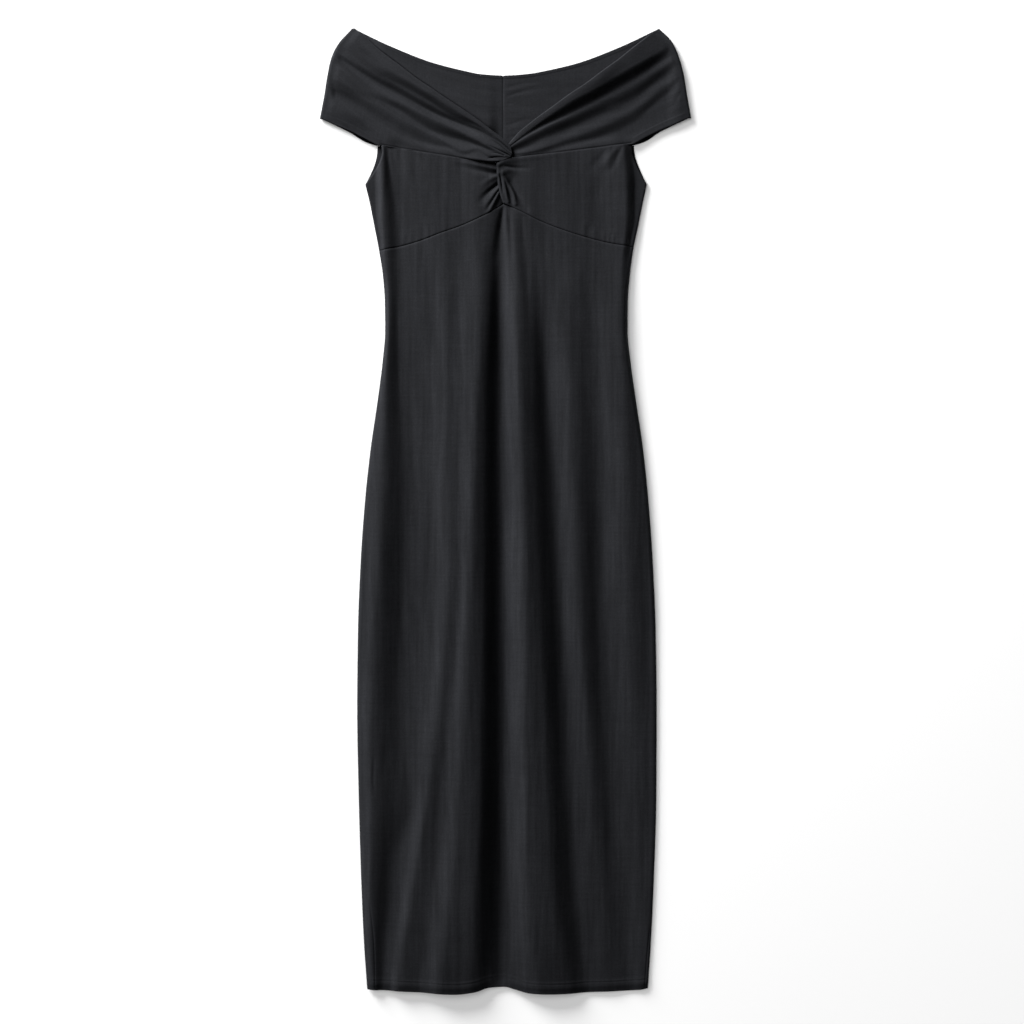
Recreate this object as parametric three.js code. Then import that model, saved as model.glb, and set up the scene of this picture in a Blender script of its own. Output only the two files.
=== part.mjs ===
// Off-shoulder dress in soft jersey, laid out flat with its front up.
// Millimetres, +Z up. The dress rests on z = 0 with its back panel down; +Y
// points to the neckline, +X to the viewer's right. The front is one layer of
// cloth over the back layer, so between them the dress is open.
import * as THREE from 'three';

// ---------------------------------------------------------------- dimensions
const CLOTH = 1.2;            // wall of the jersey, as modelled
const SEAM_GAP = 0.5;         // clear distance between two sewn edges
const LIFT_AT_SIDE = 1.95;    // height at which the front's edge meets the back
const SIDE_ROLL = 11;         // width of the soft roll along the side seams
const SLEEVE_OVERHANG = 3.5;  // how far the back of the sleeve shows below its front
const SHIFT_X = -0.001;        // puts the middle of the outline on the origin
const SHIFT_Y = 0.031;

// half widths of the body, from the top of the side seams to the hem
const SIDES = [
  { y: 441.3, left: -189.7, right: 191.0 },
  { y: 419.7, left: -184.3, right: 186.3 },
  { y: 386.0, left: -177.5, right: 179.6 },
  { y: 352.2, left: -171.0, right: 172.5 },
  { y: 318.5, left: -165.8, right: 168.1 },
  { y: 284.7, left: -163.2, right: 165.4 },
  { y: 244.2, left: -162.7, right: 165.0 },
  { y: 203.7, left: -165.9, right: 168.6 },
  { y: 149.7, left: -172.8, right: 176.2 },
  { y: 82.2, left: -182.5, right: 186.0 },
  { y: 14.7, left: -189.8, right: 193.1 },
  { y: -66.3, left: -195.6, right: 198.9 },
  { y: -160.8, left: -199.4, right: 202.9 },
  { y: -268.8, left: -200.5, right: 204.3 },
  { y: -390.3, left: -198.3, right: 203.7 },
  { y: -498.3, left: -195.1, right: 200.5 },
  { y: -579.3, left: -191.6, right: 196.7 },
  { y: -646.8, left: -187.0, right: 192.4 },
];
// armholes: the back's edge, and how far inside it the front's edge lies
const ARMHOLES = [
  { y: 494.0, left: -173.4, right: 173.9, frontInset: 5.5 },
  { y: 484.5, left: -173.4, right: 174.3, frontInset: 6.5 },
  { y: 472.4, left: -175.8, right: 177.5, frontInset: 6.0 },
  { y: 458.5, left: -181.2, right: 183.3, frontInset: 3.5 },
  { y: 441.3, left: -189.7, right: 191.0, frontInset: 0 },
];
// seam under the bust, left to right, with its apex below the twist
const SEAM_LEFT = [
  { x: -171.4, y: 351.2 }, { x: -145.9, y: 356.4 }, { x: -114.9, y: 365.0 },
  { x: -91.1, y: 374.0 }, { x: -60.8, y: 384.6 }, { x: -29.7, y: 398.6 },
  { x: -1.8, y: 414.6 },
];
const SEAM_RIGHT = [
  { x: -1.8, y: 414.6 }, { x: 20.0, y: 403.8 }, { x: 44.6, y: 392.3 },
  { x: 77.2, y: 379.4 }, { x: 110.0, y: 369.1 }, { x: 142.4, y: 361.1 },
  { x: 173.2, y: 356.0 },
];
// lower edge of the front skirt, lifted where the deep fold runs out
const HEM_FRONT = [
  { x: -187.0, y: -646.8 }, { x: -142.4, y: -648.5 }, { x: -101.9, y: -650.3 },
  { x: -68.2, y: -651.6 }, { x: -41.2, y: -648.9 }, { x: -22.3, y: -644.1 },
  { x: -2.0, y: -643.3 }, { x: 12.8, y: -646.8 }, { x: 33.1, y: -650.8 },
  { x: 62.8, y: -651.6 }, { x: 127.6, y: -650.0 }, { x: 181.6, y: -647.5 },
  { x: 192.4, y: -645.4 },
];
const HEM_BACK = -642.5;

// off-shoulder band: outline of the back layer and of the outer folds
const FOLD_LEFT = [
  { x: -207.9, y: 651.1 }, { x: -225.5, y: 631.7 }, { x: -235.6, y: 611.4 },
  { x: -241.0, y: 587.1 }, { x: -245.0, y: 561.5 }, { x: -251.0, y: 530.4 },
];
const FOLD_RIGHT = [
  { x: 208.6, y: 651.1 }, { x: 224.8, y: 634.4 }, { x: 234.2, y: 614.1 },
  { x: 241.0, y: 589.8 }, { x: 245.6, y: 561.5 }, { x: 251.0, y: 531.8 },
];
const NECK_BACK_LEFT = [
  { x: -3.1, y: 588.2 }, { x: -25.0, y: 589.6 }, { x: -47.9, y: 592.8 },
  { x: -101.9, y: 606.6 }, { x: -155.9, y: 627.6 }, { x: -207.9, y: 651.1 },
];
const NECK_BACK_RIGHT = [
  { x: -3.1, y: 588.2 }, { x: 20.0, y: 589.6 }, { x: 46.6, y: 593.2 },
  { x: 100.6, y: 606.0 }, { x: 154.6, y: 626.7 }, { x: 208.6, y: 651.1 },
];
const BACK_LOW_LEFT = [
  { x: -3.1, y: 487.2 }, { x: -88.4, y: 488.6 }, { x: -173.4, y: 492.6 },
  { x: -212.6, y: 511.4 }, { x: -251.0, y: 528.4 },
];
const BACK_LOW_RIGHT = [
  { x: -3.1, y: 487.2 }, { x: 87.1, y: 488.6 }, { x: 173.9, y: 493.3 },
  { x: 211.3, y: 512.4 }, { x: 251.0, y: 529.8 },
];
// front of the band: neckline edge and lower edge, from the fold to the twist
const NECK_LEFT = [
  { x: -207.9, y: 651.1 }, { x: -193.7, y: 641.1 }, { x: -182.9, y: 631.4 },
  { x: -169.4, y: 619.5 }, { x: -155.9, y: 609.0 }, { x: -142.4, y: 599.0 },
  { x: -128.9, y: 588.2 }, { x: -115.4, y: 578.2 }, { x: -101.9, y: 569.3 },
  { x: -88.4, y: 559.8 }, { x: -68.2, y: 546.3 }, { x: -54.7, y: 537.4 },
  { x: -37.1, y: 525.3 }, { x: -20.9, y: 513.1 }, { x: -10.1, y: 505.0 },
  { x: -0.7, y: 497.7 }, { x: 6.3, y: 490.9 },
];
const LOW_LEFT = [
  { x: -251.0, y: 531.8 }, { x: -211.3, y: 515.6 }, { x: -170.8, y: 495.0 },
  { x: -122.2, y: 486.5 }, { x: -74.9, y: 478.8 }, { x: -34.4, y: 472.0 },
  { x: -12.8, y: 469.5 }, { x: -1.0, y: 472.5 },
];
const NECK_RIGHT = [
  { x: 208.6, y: 651.1 }, { x: 200.5, y: 644.8 }, { x: 192.4, y: 639.1 },
  { x: 181.6, y: 631.0 }, { x: 168.1, y: 620.2 }, { x: 154.6, y: 609.0 },
  { x: 141.1, y: 599.0 }, { x: 127.6, y: 589.0 }, { x: 107.3, y: 574.0 },
  { x: 87.1, y: 560.7 }, { x: 66.8, y: 545.8 }, { x: 46.6, y: 531.5 },
  { x: 33.1, y: 521.2 }, { x: 19.6, y: 510.2 }, { x: 8.8, y: 498.7 },
  { x: 0.7, y: 490.6 },
];
const LOW_RIGHT = [
  { x: 251.0, y: 533.9 }, { x: 211.3, y: 517.9 }, { x: 171.5, y: 497.3 },
  { x: 127.6, y: 491.2 }, { x: 73.6, y: 484.2 }, { x: 46.6, y: 481.1 },
  { x: 29.0, y: 479.2 }, { x: 12.8, y: 477.6 }, { x: 2.0, y: 477.6 },
];

// Soft folds of the front, each a line down the dress. STATIONS gives the
// heights on the dress; each row gives where the line runs (x) and how high
// the cloth stands on it (z) at every station.
const STATIONS = [487.2, 441.3, 399.5, 352.2, 284.7, 149.7, 14.7, -120.3, -255.3, -390.3, -525.3, -646.8];
const FOLDS = [
  { name: 'left roll', x: [-165.6, -165.4, -164.8, -162.4, -157.3, -162.7, -166.7, -173.5, -178.9, -180.2, -181.6, -177.5], z: [9, 11, 11, 10, 9.5, 11.7, 14, 14.6, 14, 13.2, 11.4, 8.5] },
  { name: 'left valley', x: [-157.9, -152.5, -145.1, -143.1, -143.8, -139.7, -130.3, -131.6, -139.7, -128.9, -153.2, -166.7], z: [6, 5.6, 5.2, 5.3, 5.9, 5.1, 4.5, 4.3, 5.3, 5.6, 4.8, 5.6] },
  { name: 'left ridge', x: [-88.4, -85.7, -83, -79.6, -77.6, -76.3, -74.9, -74.9, -87.1, -106, -126.2, -143.8], z: [10.2, 10.4, 10.2, 10, 11, 13.2, 14.8, 15.6, 15.6, 15.4, 13.5, 10.9] },
  { name: 'left dip', x: [-64.1, -65.5, -65.5, -65.5, -65.5, -65.5, -62.8, -64.1, -74.9, -87.1, -101.9, -118.1], z: [10.6, 10.6, 10.2, 9.8, 10.7, 13, 14.8, 15.4, 14.8, 13.9, 12.7, 10.1] },
  { name: 'centre ridge, left', x: [-34.4, -34.4, -34.4, -34.4, -34.4, -39.8, -45.2, -49.3, -53.3, -58.7, -69.5, -81.7], z: [12, 12, 11.8, 11.8, 14.3, 18, 19.6, 20.4, 20.9, 21.2, 20.1, 15.4] },
  { name: 'centre valley', x: [-3.4, -3.4, -4, -8.3, -9.4, -8.8, -6.1, -4.7, -3.4, -3.4, -3.4, -4.7], z: [11.6, 9.5, 8, 5.5, 3.7, 3, 2.8, 2.8, 2.8, 2.8, 2.8, 4] },
  { name: 'centre ridge, right', x: [23.6, 22.3, 19.6, 16, 15.5, 18.2, 25, 29, 30.4, 33.1, 35.8, 53.3], z: [12, 11.4, 11.2, 11.4, 13.9, 16.4, 16.9, 17.7, 18.3, 18.5, 17.7, 13.8] },
  { name: 'right dip', x: [53.3, 52, 50.6, 48.4, 50.6, 58.7, 70.9, 77.6, 84.4, 89.8, 100.6, 112.7], z: [11.4, 10.9, 10.3, 9.6, 8.8, 7.2, 5.3, 4.3, 3.8, 3.4, 3.2, 4.5] },
  { name: 'right ridge', x: [92.5, 92.5, 92.5, 91.1, 87.1, 88.4, 95.2, 101.9, 111.4, 119.5, 128.9, 138.4], z: [10.8, 10.8, 10.6, 10.3, 11.5, 12.4, 12.4, 11.9, 10.9, 9, 7.7, 7.7] },
  { name: 'right valley', x: [127.6, 127.6, 127.6, 123.4, 119.5, 123.5, 130.3, 137, 142.4, 149.2, 157.3, 168.1], z: [9.4, 9.2, 9.2, 9.1, 8.8, 8, 6.6, 5.6, 4.5, 4, 4.5, 5.8] },
  { name: 'right roll', x: [150, 162, 162, 157.8, 154.6, 158.6, 165.4, 170.8, 178.9, 182.9, 181.6, 182.9], z: [9.5, 11, 11, 10.6, 12.2, 13.2, 13, 12.2, 10.3, 8.8, 7.7, 7.2] },
  { name: 'right shoulder', x: [160, 174.2, 174.2, 167.9, 163.4, 173.5, 188.3, 193.7, 197.8, 197.8, 192.4, 189], z: [5, 4.4, 4.8, 6.7, 9.8, 9.8, 9.3, 8.8, 8.2, 7.7, 6.9, 6.4] },
];

// Creases that fan out from the twist over the cups. turn is the direction
// from the twist in degrees (0 = +X, -90 = down the dress), half its half
// width in degrees, rise its height (minus = trough), from/to where it runs.
const TWIST = { x: -7.4, y: 469.7 };
const FAN_LEFT = [
  { turn: -171, half: 7, rise: -2.6, from: 6, to: 44 },
  { turn: -156, half: 8, rise: 1.6, from: 6, to: 52 },
  { turn: -136, half: 7, rise: -2.2, from: 10, to: 48 },
  { turn: -126, half: 5, rise: 1.6, from: 12, to: 52 },
  { turn: -117, half: 5, rise: -2.4, from: 12, to: 52 },
  { turn: -106, half: 5, rise: 1.4, from: 12, to: 56 },
];
const FAN_RIGHT = [
  { turn: -14, half: 8, rise: -1.8, from: 6, to: 34 },
  { turn: -34, half: 10, rise: 1.2, from: 6, to: 44 },
  { turn: -57, half: 7, rise: -1.8, from: 10, to: 56 },
  { turn: -68, half: 5, rise: 1.8, from: 10, to: 60 },
];

// Pleats of the band's front. at = distance along the band from the outer fold
// (0) to the twist (1); each pleat line gives its place across the band
// (0 = lower edge, 1 = neckline edge) and its height there.
const PLEAT_AT = [0, 0.12, 0.28, 0.46, 0.64, 0.8, 0.92, 1];
const PLEATS_LEFT = [
  { name: 'lower edge', across: [0, 0, 0, 0, 0, 0, 0, 0], z: [5.8, 7.2, 8.2, 9.8, 10.8, 12.2, 15, 15.5] },
  { name: 'lower crest', across: [0.3, 0.3, 0.3, 0.3, 0.3, 0.3, 0.28, 0.28], z: [8.5, 9.5, 9.5, 11, 12.4, 14.6, 17.4, 17.6] },
  { name: 'second valley', across: [0.5, 0.5, 0.5, 0.5, 0.5, 0.51, 0.5, 0.5], z: [8.2, 9, 8.6, 9.6, 10.8, 12.4, 15.8, 16.4] },
  { name: 'upper crest', across: [0.62, 0.62, 0.64, 0.66, 0.68, 0.7, 0.7, 0.7], z: [8, 9.8, 10.2, 11.6, 13, 15, 17.8, 18] },
  { name: 'first valley', across: [0.72, 0.72, 0.76, 0.79, 0.84, 0.86, 0.86, 0.86], z: [7.4, 7, 6.8, 7.2, 8.6, 11.2, 15.6, 16] },
  { name: 'neckline edge', across: [1, 1, 1, 1, 1, 1, 1, 1], z: [3.4, 6, 7.6, 9, 10.6, 12.6, 15.4, 14.6] },
];
const PLEATS_RIGHT = [
  { name: 'lower edge', across: [0, 0, 0, 0, 0, 0, 0, 0], z: [5.8, 7.2, 8.4, 10, 11, 11.4, 10.4, 9.2] },
  { name: 'lower crest', across: [0.34, 0.34, 0.34, 0.34, 0.34, 0.34, 0.34, 0.34], z: [8.5, 9.5, 10, 11.2, 12.2, 13, 11.8, 10.4] },
  { name: 'second valley', across: [0.52, 0.52, 0.52, 0.5, 0.5, 0.46, 0.46, 0.46], z: [8.2, 8.6, 8.4, 9.2, 9.8, 10.6, 10.6, 10.2] },
  { name: 'upper crest', across: [0.64, 0.66, 0.68, 0.66, 0.66, 0.66, 0.66, 0.66], z: [8, 9.6, 10, 11, 12, 12.6, 12.2, 11.4] },
  { name: 'first valley', across: [0.76, 0.76, 0.75, 0.74, 0.74, 0.75, 0.76, 0.76], z: [7.2, 6.6, 6.2, 6.6, 7.8, 9.2, 10, 10] },
  { name: 'neckline edge', across: [1, 1, 1, 1, 1, 1, 1, 1], z: [3.4, 6, 7.8, 9.4, 10.8, 11.8, 11.8, 11.2] },
];

// ------------------------------------------------------------------ materials
const jersey = new THREE.MeshStandardMaterial({ color: 0x26272a, roughness: 0.9, metalness: 0, name: 'black jersey' });

// -------------------------------------------------------------------- helpers
const clamp = (v, lo, hi) => Math.min(hi, Math.max(lo, v));
const ease = (t) => { const c = clamp(t, 0, 1); return c * c * (3 - 2 * c); };

// smooth interpolation through (xs, ys) that never overshoots its values
function through(xs, ys) {
  const n = xs.length;
  const slope = [];
  for (let i = 0; i < n - 1; i++) slope.push((ys[i + 1] - ys[i]) / (xs[i + 1] - xs[i]));
  const m = [slope[0]];
  for (let i = 1; i < n - 1; i++) {
    const a = slope[i - 1], b = slope[i];
    m.push(a * b <= 0 ? 0 : (2 * a * b) / (a + b));
  }
  m.push(slope[n - 2]);
  return (x) => {
    if (x <= xs[0]) return ys[0];
    if (x >= xs[n - 1]) return ys[n - 1];
    let i = 0;
    while (x > xs[i + 1]) i++;
    const h = xs[i + 1] - xs[i], t = (x - xs[i]) / h, t2 = t * t, t3 = t2 * t;
    return (2 * t3 - 3 * t2 + 1) * ys[i] + (t3 - 2 * t2 + t) * h * m[i]
      + (-2 * t3 + 3 * t2) * ys[i + 1] + (t3 - t2) * h * m[i + 1];
  };
}

// column of a table as a function of y, for tables whose y falls
const byHeight = (rows, key) => {
  const s = [...rows].sort((a, b) => a.y - b.y);
  return through(s.map((r) => r.y), s.map((r) => r[key]));
};
// column of a table as a function of x, for tables whose x rises
const byWidth = (rows) => through(rows.map((r) => r.x), rows.map((r) => r.y));
const seamLeft = byWidth(SEAM_LEFT), seamRight = byWidth(SEAM_RIGHT);
const APEX = SEAM_RIGHT[0];
const seam = (x) => (x < APEX.x ? seamLeft(x) : seamRight(x));

// plane curve through points, walked by its length from 0 to 1
function walk(points) {
  const fine = [];
  const n = points.length;
  for (let i = 0; i < n - 1; i++) {
    const a = points[Math.max(0, i - 1)], b = points[i], c = points[i + 1], d = points[Math.min(n - 1, i + 2)];
    for (let k = 0; k < 12; k++) {
      const t = k / 12, t2 = t * t, t3 = t2 * t;
      const f = (p, q, r, s) => 0.5 * (2 * q + (r - p) * t + (2 * p - 5 * q + 4 * r - s) * t2 + (3 * q - p - 3 * r + s) * t3);
      fine.push({ x: f(a.x, b.x, c.x, d.x), y: f(a.y, b.y, c.y, d.y) });
    }
  }
  fine.push(points[n - 1]);
  const len = [0];
  for (let i = 1; i < fine.length; i++) len.push(len[i - 1] + Math.hypot(fine[i].x - fine[i - 1].x, fine[i].y - fine[i - 1].y));
  const total = len[len.length - 1];
  return (s) => {
    const want = clamp(s, 0, 1) * total;
    let i = 0;
    while (i < len.length - 2 && len[i + 1] < want) i++;
    const t = (want - len[i]) / (len[i + 1] - len[i]);
    return { x: fine[i].x + (fine[i + 1].x - fine[i].x) * t, y: fine[i].y + (fine[i + 1].y - fine[i].y) * t };
  };
}

// patch between four curves; u runs along low/high, v along start/end
const patch = (low, high, start, end) => (u, v) => {
  const a = low(u), b = high(u), c = start(v), d = end(v);
  const p00 = low(0), p10 = low(1), p01 = high(0), p11 = high(1);
  const mix = (k) => (1 - v) * a[k] + v * b[k] + (1 - u) * c[k] + u * d[k]
    - ((1 - u) * (1 - v) * p00[k] + u * (1 - v) * p10[k] + (1 - u) * v * p01[k] + u * v * p11[k]);
  return { x: mix('x'), y: mix('y') };
};

// closed cloth from a grid of points on its middle surface
function cloth(name, grid) {
  const rows = grid.length, cols = grid[0].length;
  const V = (i, j) => new THREE.Vector3(grid[i][j].x, grid[i][j].y, grid[i][j].z);
  const top = [], bottom = [];
  for (let i = 0; i < rows; i++) {
    for (let j = 0; j < cols; j++) {
      const along = V(i, Math.min(cols - 1, j + 1)).sub(V(i, Math.max(0, j - 1)));
      const across = V(Math.min(rows - 1, i + 1), j).sub(V(Math.max(0, i - 1), j));
      const n = along.cross(across).normalize().multiplyScalar(CLOTH / 2);
      top.push(V(i, j).add(n));
      bottom.push(V(i, j).sub(n));
    }
  }
  const pos = [];
  for (const p of [...top, ...bottom]) pos.push(p.x + SHIFT_X, p.y + SHIFT_Y, p.z);
  const index = [];
  const T = (i, j) => i * cols + j, B = (i, j) => rows * cols + i * cols + j;
  const quad = (a, b, c, d) => index.push(a, b, c, a, c, d);
  for (let i = 0; i < rows - 1; i++) {
    for (let j = 0; j < cols - 1; j++) {
      quad(T(i, j), T(i, j + 1), T(i + 1, j + 1), T(i + 1, j));
      quad(B(i, j), B(i + 1, j), B(i + 1, j + 1), B(i, j + 1));
    }
  }
  for (let j = 0; j < cols - 1; j++) {
    quad(T(0, j + 1), T(0, j), B(0, j), B(0, j + 1));
    quad(T(rows - 1, j), T(rows - 1, j + 1), B(rows - 1, j + 1), B(rows - 1, j));
  }
  for (let i = 0; i < rows - 1; i++) {
    quad(T(i, 0), T(i + 1, 0), B(i + 1, 0), B(i, 0));
    quad(T(i + 1, cols - 1), T(i, cols - 1), B(i, cols - 1), B(i + 1, cols - 1));
  }
  const g = new THREE.BufferGeometry();
  g.setAttribute('position', new THREE.Float32BufferAttribute(pos, 3));
  g.setIndex(index);
  g.computeVertexNormals();
  const mesh = new THREE.Mesh(g, jersey);
  mesh.name = name;
  return mesh;
}

// ------------------------------------------------------- shape of the front
const sideLeft = byHeight(SIDES, 'left'), sideRight = byHeight(SIDES, 'right');
const armLeft = byHeight(ARMHOLES, 'left'), armRight = byHeight(ARMHOLES, 'right');
const armInset = byHeight(ARMHOLES, 'frontInset');
const SIDE_TOP = 441.3;
// edges of the front layer: the side seams, then the armholes inside the back's
const edgeLeft = (y) => (y <= SIDE_TOP ? sideLeft(y) : armLeft(y) + armInset(y)) + CLOTH / 2;
const edgeRight = (y) => (y <= SIDE_TOP ? sideRight(y) : armRight(y) - armInset(y)) - CLOTH / 2;

const up = [...STATIONS].reverse();
const foldX = FOLDS.map((f) => through(up, [...f.x].reverse()));
const foldZ = FOLDS.map((f) => through(up, [...f.z].reverse()));

// height of the front over the table, without the roll at its sides
function swell(x, y) {
  const xs = foldX.map((f) => f(y)), zs = foldZ.map((f) => f(y));
  return through(xs, zs)(x);
}
// the same with the front rolling down to the back along its sides
function front(x, y) {
  const d = Math.min(x - edgeLeft(y), edgeRight(y) - x);
  const z = swell(x, y);
  if (d >= SIDE_ROLL) return z;
  const c = 1 - clamp(d, 0, SIDE_ROLL) / SIDE_ROLL;
  return LIFT_AT_SIDE + (z - LIFT_AT_SIDE) * Math.sqrt(Math.max(0, 1 - c * c));
}
// creases that fan from the twist
function fan(rows, x, y) {
  const dx = x - TWIST.x, dy = y - TWIST.y;
  const r = Math.hypot(dx, dy), a = THREE.MathUtils.radToDeg(Math.atan2(dy, dx));
  let z = 0;
  for (const f of rows) {
    const off = Math.abs(a - f.turn) / f.half;
    if (off < 1) z += f.rise * (0.5 + 0.5 * Math.cos(Math.PI * off)) * ease((r - 2) / f.from) * ease((f.to - r) / (0.6 * f.to));
  }
  return z;
}

// ---------------------------------------------------------------- skirt front
function skirtFront() {
  const hem = byWidth(HEM_FRONT);
  // columns: 0 = left edge, 1..12 = the fold lines, 13 = right edge
  const columns = [0, 0.3, 0.6];
  for (let k = 1; k <= 12; k++) {
    columns.push(k);
    if (k < 12) columns.push(k + 0.5);
  }
  columns.push(12.4, 12.7, 13);
  const place = (c, y) => {
    const l = edgeLeft(y), r = edgeRight(y);
    if (c <= 1) return l + (foldX[0](y) - l) * (1 - Math.cos(c * Math.PI / 2));
    if (c >= 12) return r - (r - foldX[11](y)) * (1 - Math.cos((13 - c) * Math.PI / 2));
    const k = Math.floor(c), t = c - k, a = foldX[k - 1](y);
    return t === 0 ? a : a + (foldX[k](y) - a) * t;
  };
  const down = [0, 0.012, 0.04, 0.08, 0.13, 0.19, 0.26, 0.34, 0.42, 0.5, 0.58, 0.66, 0.74, 0.82, 0.89, 0.95, 1];
  const grid = down.map((v) => columns.map((c) => {
    let y = 380 - v * 1030, x = place(c, y);
    for (let k = 0; k < 12; k++) {
      y = (1 - v) * (seam(x) - SEAM_GAP / 2) + v * hem(x);
      x = place(c, y);
    }
    return { x, y, z: front(x, y) };
  }));
  return cloth('skirt_front', grid.reverse());
}

// ----------------------------------------------------------------------- cups
// lower edge of the band's front, which the cups hang from
const lowLeft = byWidth(LOW_LEFT), lowRight = byWidth([...LOW_RIGHT].reverse());
const bandLow = (x) => (x < 2 ? lowLeft(x) : lowRight(x));
const CUP_ACROSS = [0, 0.006, 0.022, 0.05, 0.09, 0.14, 0.2, 0.29, 0.4, 0.52, 0.63, 0.72, 0.79, 0.845, 0.89, 0.925, 0.955, 0.98, 1];
const CUP_UP = [0, 0.08, 0.18, 0.3, 0.42, 0.54, 0.66, 0.78, 0.9, 1];

function cup(name, side) {
  const left = side < 0;
  const yTop = left ? 494.5 : 496.5;
  const edge = (y) => (left ? edgeLeft(y) : edgeRight(y));
  const seamStart = left ? 351.4 : 356.3;
  // the right cup crosses the middle and lies over the left one
  const middle = walk(left
    ? [{ x: -5.2, y: seam(-5.2) + SEAM_GAP / 2 }, { x: -5.8, y: 440 }, { x: -9.5, y: 464 }]
    : [{ x: APEX.x, y: APEX.y + SEAM_GAP / 2 }, { x: -6.5, y: 432 }, { x: -8.6, y: 450 }, { x: -6.6, y: 465.5 }]);
  const seamEdge = edge(seamStart), seamEnd = left ? -5.2 : APEX.x;
  const lowUp = (u) => { const x = seamEdge + (seamEnd - seamEdge) * u; return { x, y: seam(x) + SEAM_GAP / 2 }; };
  const highEdge = edge(yTop), highEnd = left ? -9.5 : -6.6;
  const highDown = (u) => { const x = highEdge + (highEnd - highEdge) * u; return { x, y: bandLow(x) - SEAM_GAP - 0.4 }; };
  const a = lowUp(0), b = highDown(0);
  const sideCurve = (v) => { const y = a.y + (b.y - a.y) * v; return { x: a.x + (b.x - a.x) * v + edge(y) - (edge(a.y) + (edge(b.y) - edge(a.y)) * v), y }; };
  const at = patch(lowUp, highDown, sideCurve, middle);
  const rows = CUP_UP.map((v) => CUP_ACROSS.map((u) => {
    const p = at(u, v);
    const near = Math.abs(p.x - middle(v).x);
    let z = front(p.x, p.y);
    if (left) {
      z += fan(FAN_LEFT, p.x, p.y);
      z -= 3.4 * ease((16 - near) / 16);
    } else {
      z += fan(FAN_RIGHT, p.x, p.y);
      z += 2.4 * ease((15 - near) / 12) - 0.9 * ease((3.5 - near) / 3.5);
    }
    return { x: p.x, y: p.y, z };
  }));
  return cloth(name, left ? rows : rows.map((r) => r.reverse()));
}

// ---------------------------------------------------------------------- bands
const BAND_ACROSS = [0, 0.1, 0.2, 0.3, 0.4, 0.5, 0.58, 0.65, 0.73, 0.8, 0.87, 0.94, 1];
const BAND_FRONT = [0.03, 0.08, 0.16, 0.25, 0.35, 0.45, 0.55, 0.65, 0.74, 0.82, 0.88, 0.93, 0.97, 1];
const BAND_BACK = [0, 0.25, 0.5, 0.72, 0.9];

function lowSamples(left) {
  const rows = left ? LOW_LEFT : LOW_RIGHT, from = rows[0].x, to = rows[rows.length - 1].x;
  return Array.from({ length: 61 }, (_, i) => {
    const x = from + (to - from) * (i / 60);
    return { x, y: (left ? lowLeft : lowRight)(x) };
  });
}

function band(name, side) {
  const left = side < 0;
  const pleats = left ? PLEATS_LEFT : PLEATS_RIGHT;
  const foldCurve = walk([...(left ? FOLD_LEFT : FOLD_RIGHT)].reverse());
  const seamX = left ? -3.1 - SEAM_GAP / 2 : -3.1 + SEAM_GAP / 2;
  const lowBack = walk(left ? BACK_LOW_LEFT : BACK_LOW_RIGHT);
  const neckBack = walk(left ? NECK_BACK_LEFT : NECK_BACK_RIGHT);
  const lowFront = walk(lowSamples(left)), neckFront = walk(left ? NECK_LEFT : NECK_RIGHT);
  const end0 = lowFront(1), end1 = neckFront(1);
  const endCurve = walk(left
    ? [end0, { x: 5.0, y: 475.4 }, { x: 8.0, y: 482.5 }, end1]
    : [end0, { x: (end0.x + end1.x) / 2, y: (end0.y + end1.y) / 2 }, end1]);
  const seamCurve = (v) => ({ x: seamX, y: 487.2 + (588.2 - 487.2) * v });
  const overBack = patch(lowBack, neckBack, seamCurve, foldCurve);
  const overFront = patch(lowFront, neckFront, foldCurve, endCurve);
  const across = pleats.map((p) => through(PLEAT_AT, p.across)), height = pleats.map((p) => through(PLEAT_AT, p.z));
  const pleated = (u, v) => through(across.map((f) => f(u)), height.map((f) => f(u)))(v);
  // radius of the outer fold: half the height of the front where it starts
  const radius = (v) => (pleated(0, v) - CLOTH / 2) / 2;
  const grid = BAND_ACROSS.map((v) => {
    const row = [];
    const r = radius(v);
    const rim = foldCurve(v);
    for (const u of BAND_BACK) {
      const p = overBack(u, v);
      const x = u === 0 ? seamX : p.x;
      row.push({ x, y: p.y, z: CLOTH / 2 });
    }
    // the outer fold, a half turn that starts and ends one radius inside it
    for (const turn of [-90, -45, 0, 45, 90]) {
      const a = THREE.MathUtils.degToRad(turn);
      row.push({ x: rim.x - side * (CLOTH / 2 + r * (1 - Math.cos(a))), y: rim.y, z: CLOTH / 2 + r + r * Math.sin(a) });
    }
    for (const u of BAND_FRONT) {
      const p = overFront(u, v);
      const inside = left ? p.x - edgeLeft(p.y) : edgeRight(p.y) - p.x;
      let z = pleated(u, v);
      // along the seam the band stands as high as the cup it is sewn to
      if (u < 0.86) {
        const join = ease((0.22 - v) / 0.22) * ease((inside - 14) / 22) * ease((0.86 - u) / 0.16);
        z += (swell(p.x, p.y) - z) * join;
      }
      row.push({ x: p.x, y: p.y, z });
    }
    return row;
  });
  return cloth(name, left ? grid.reverse() : grid);
}

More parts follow.
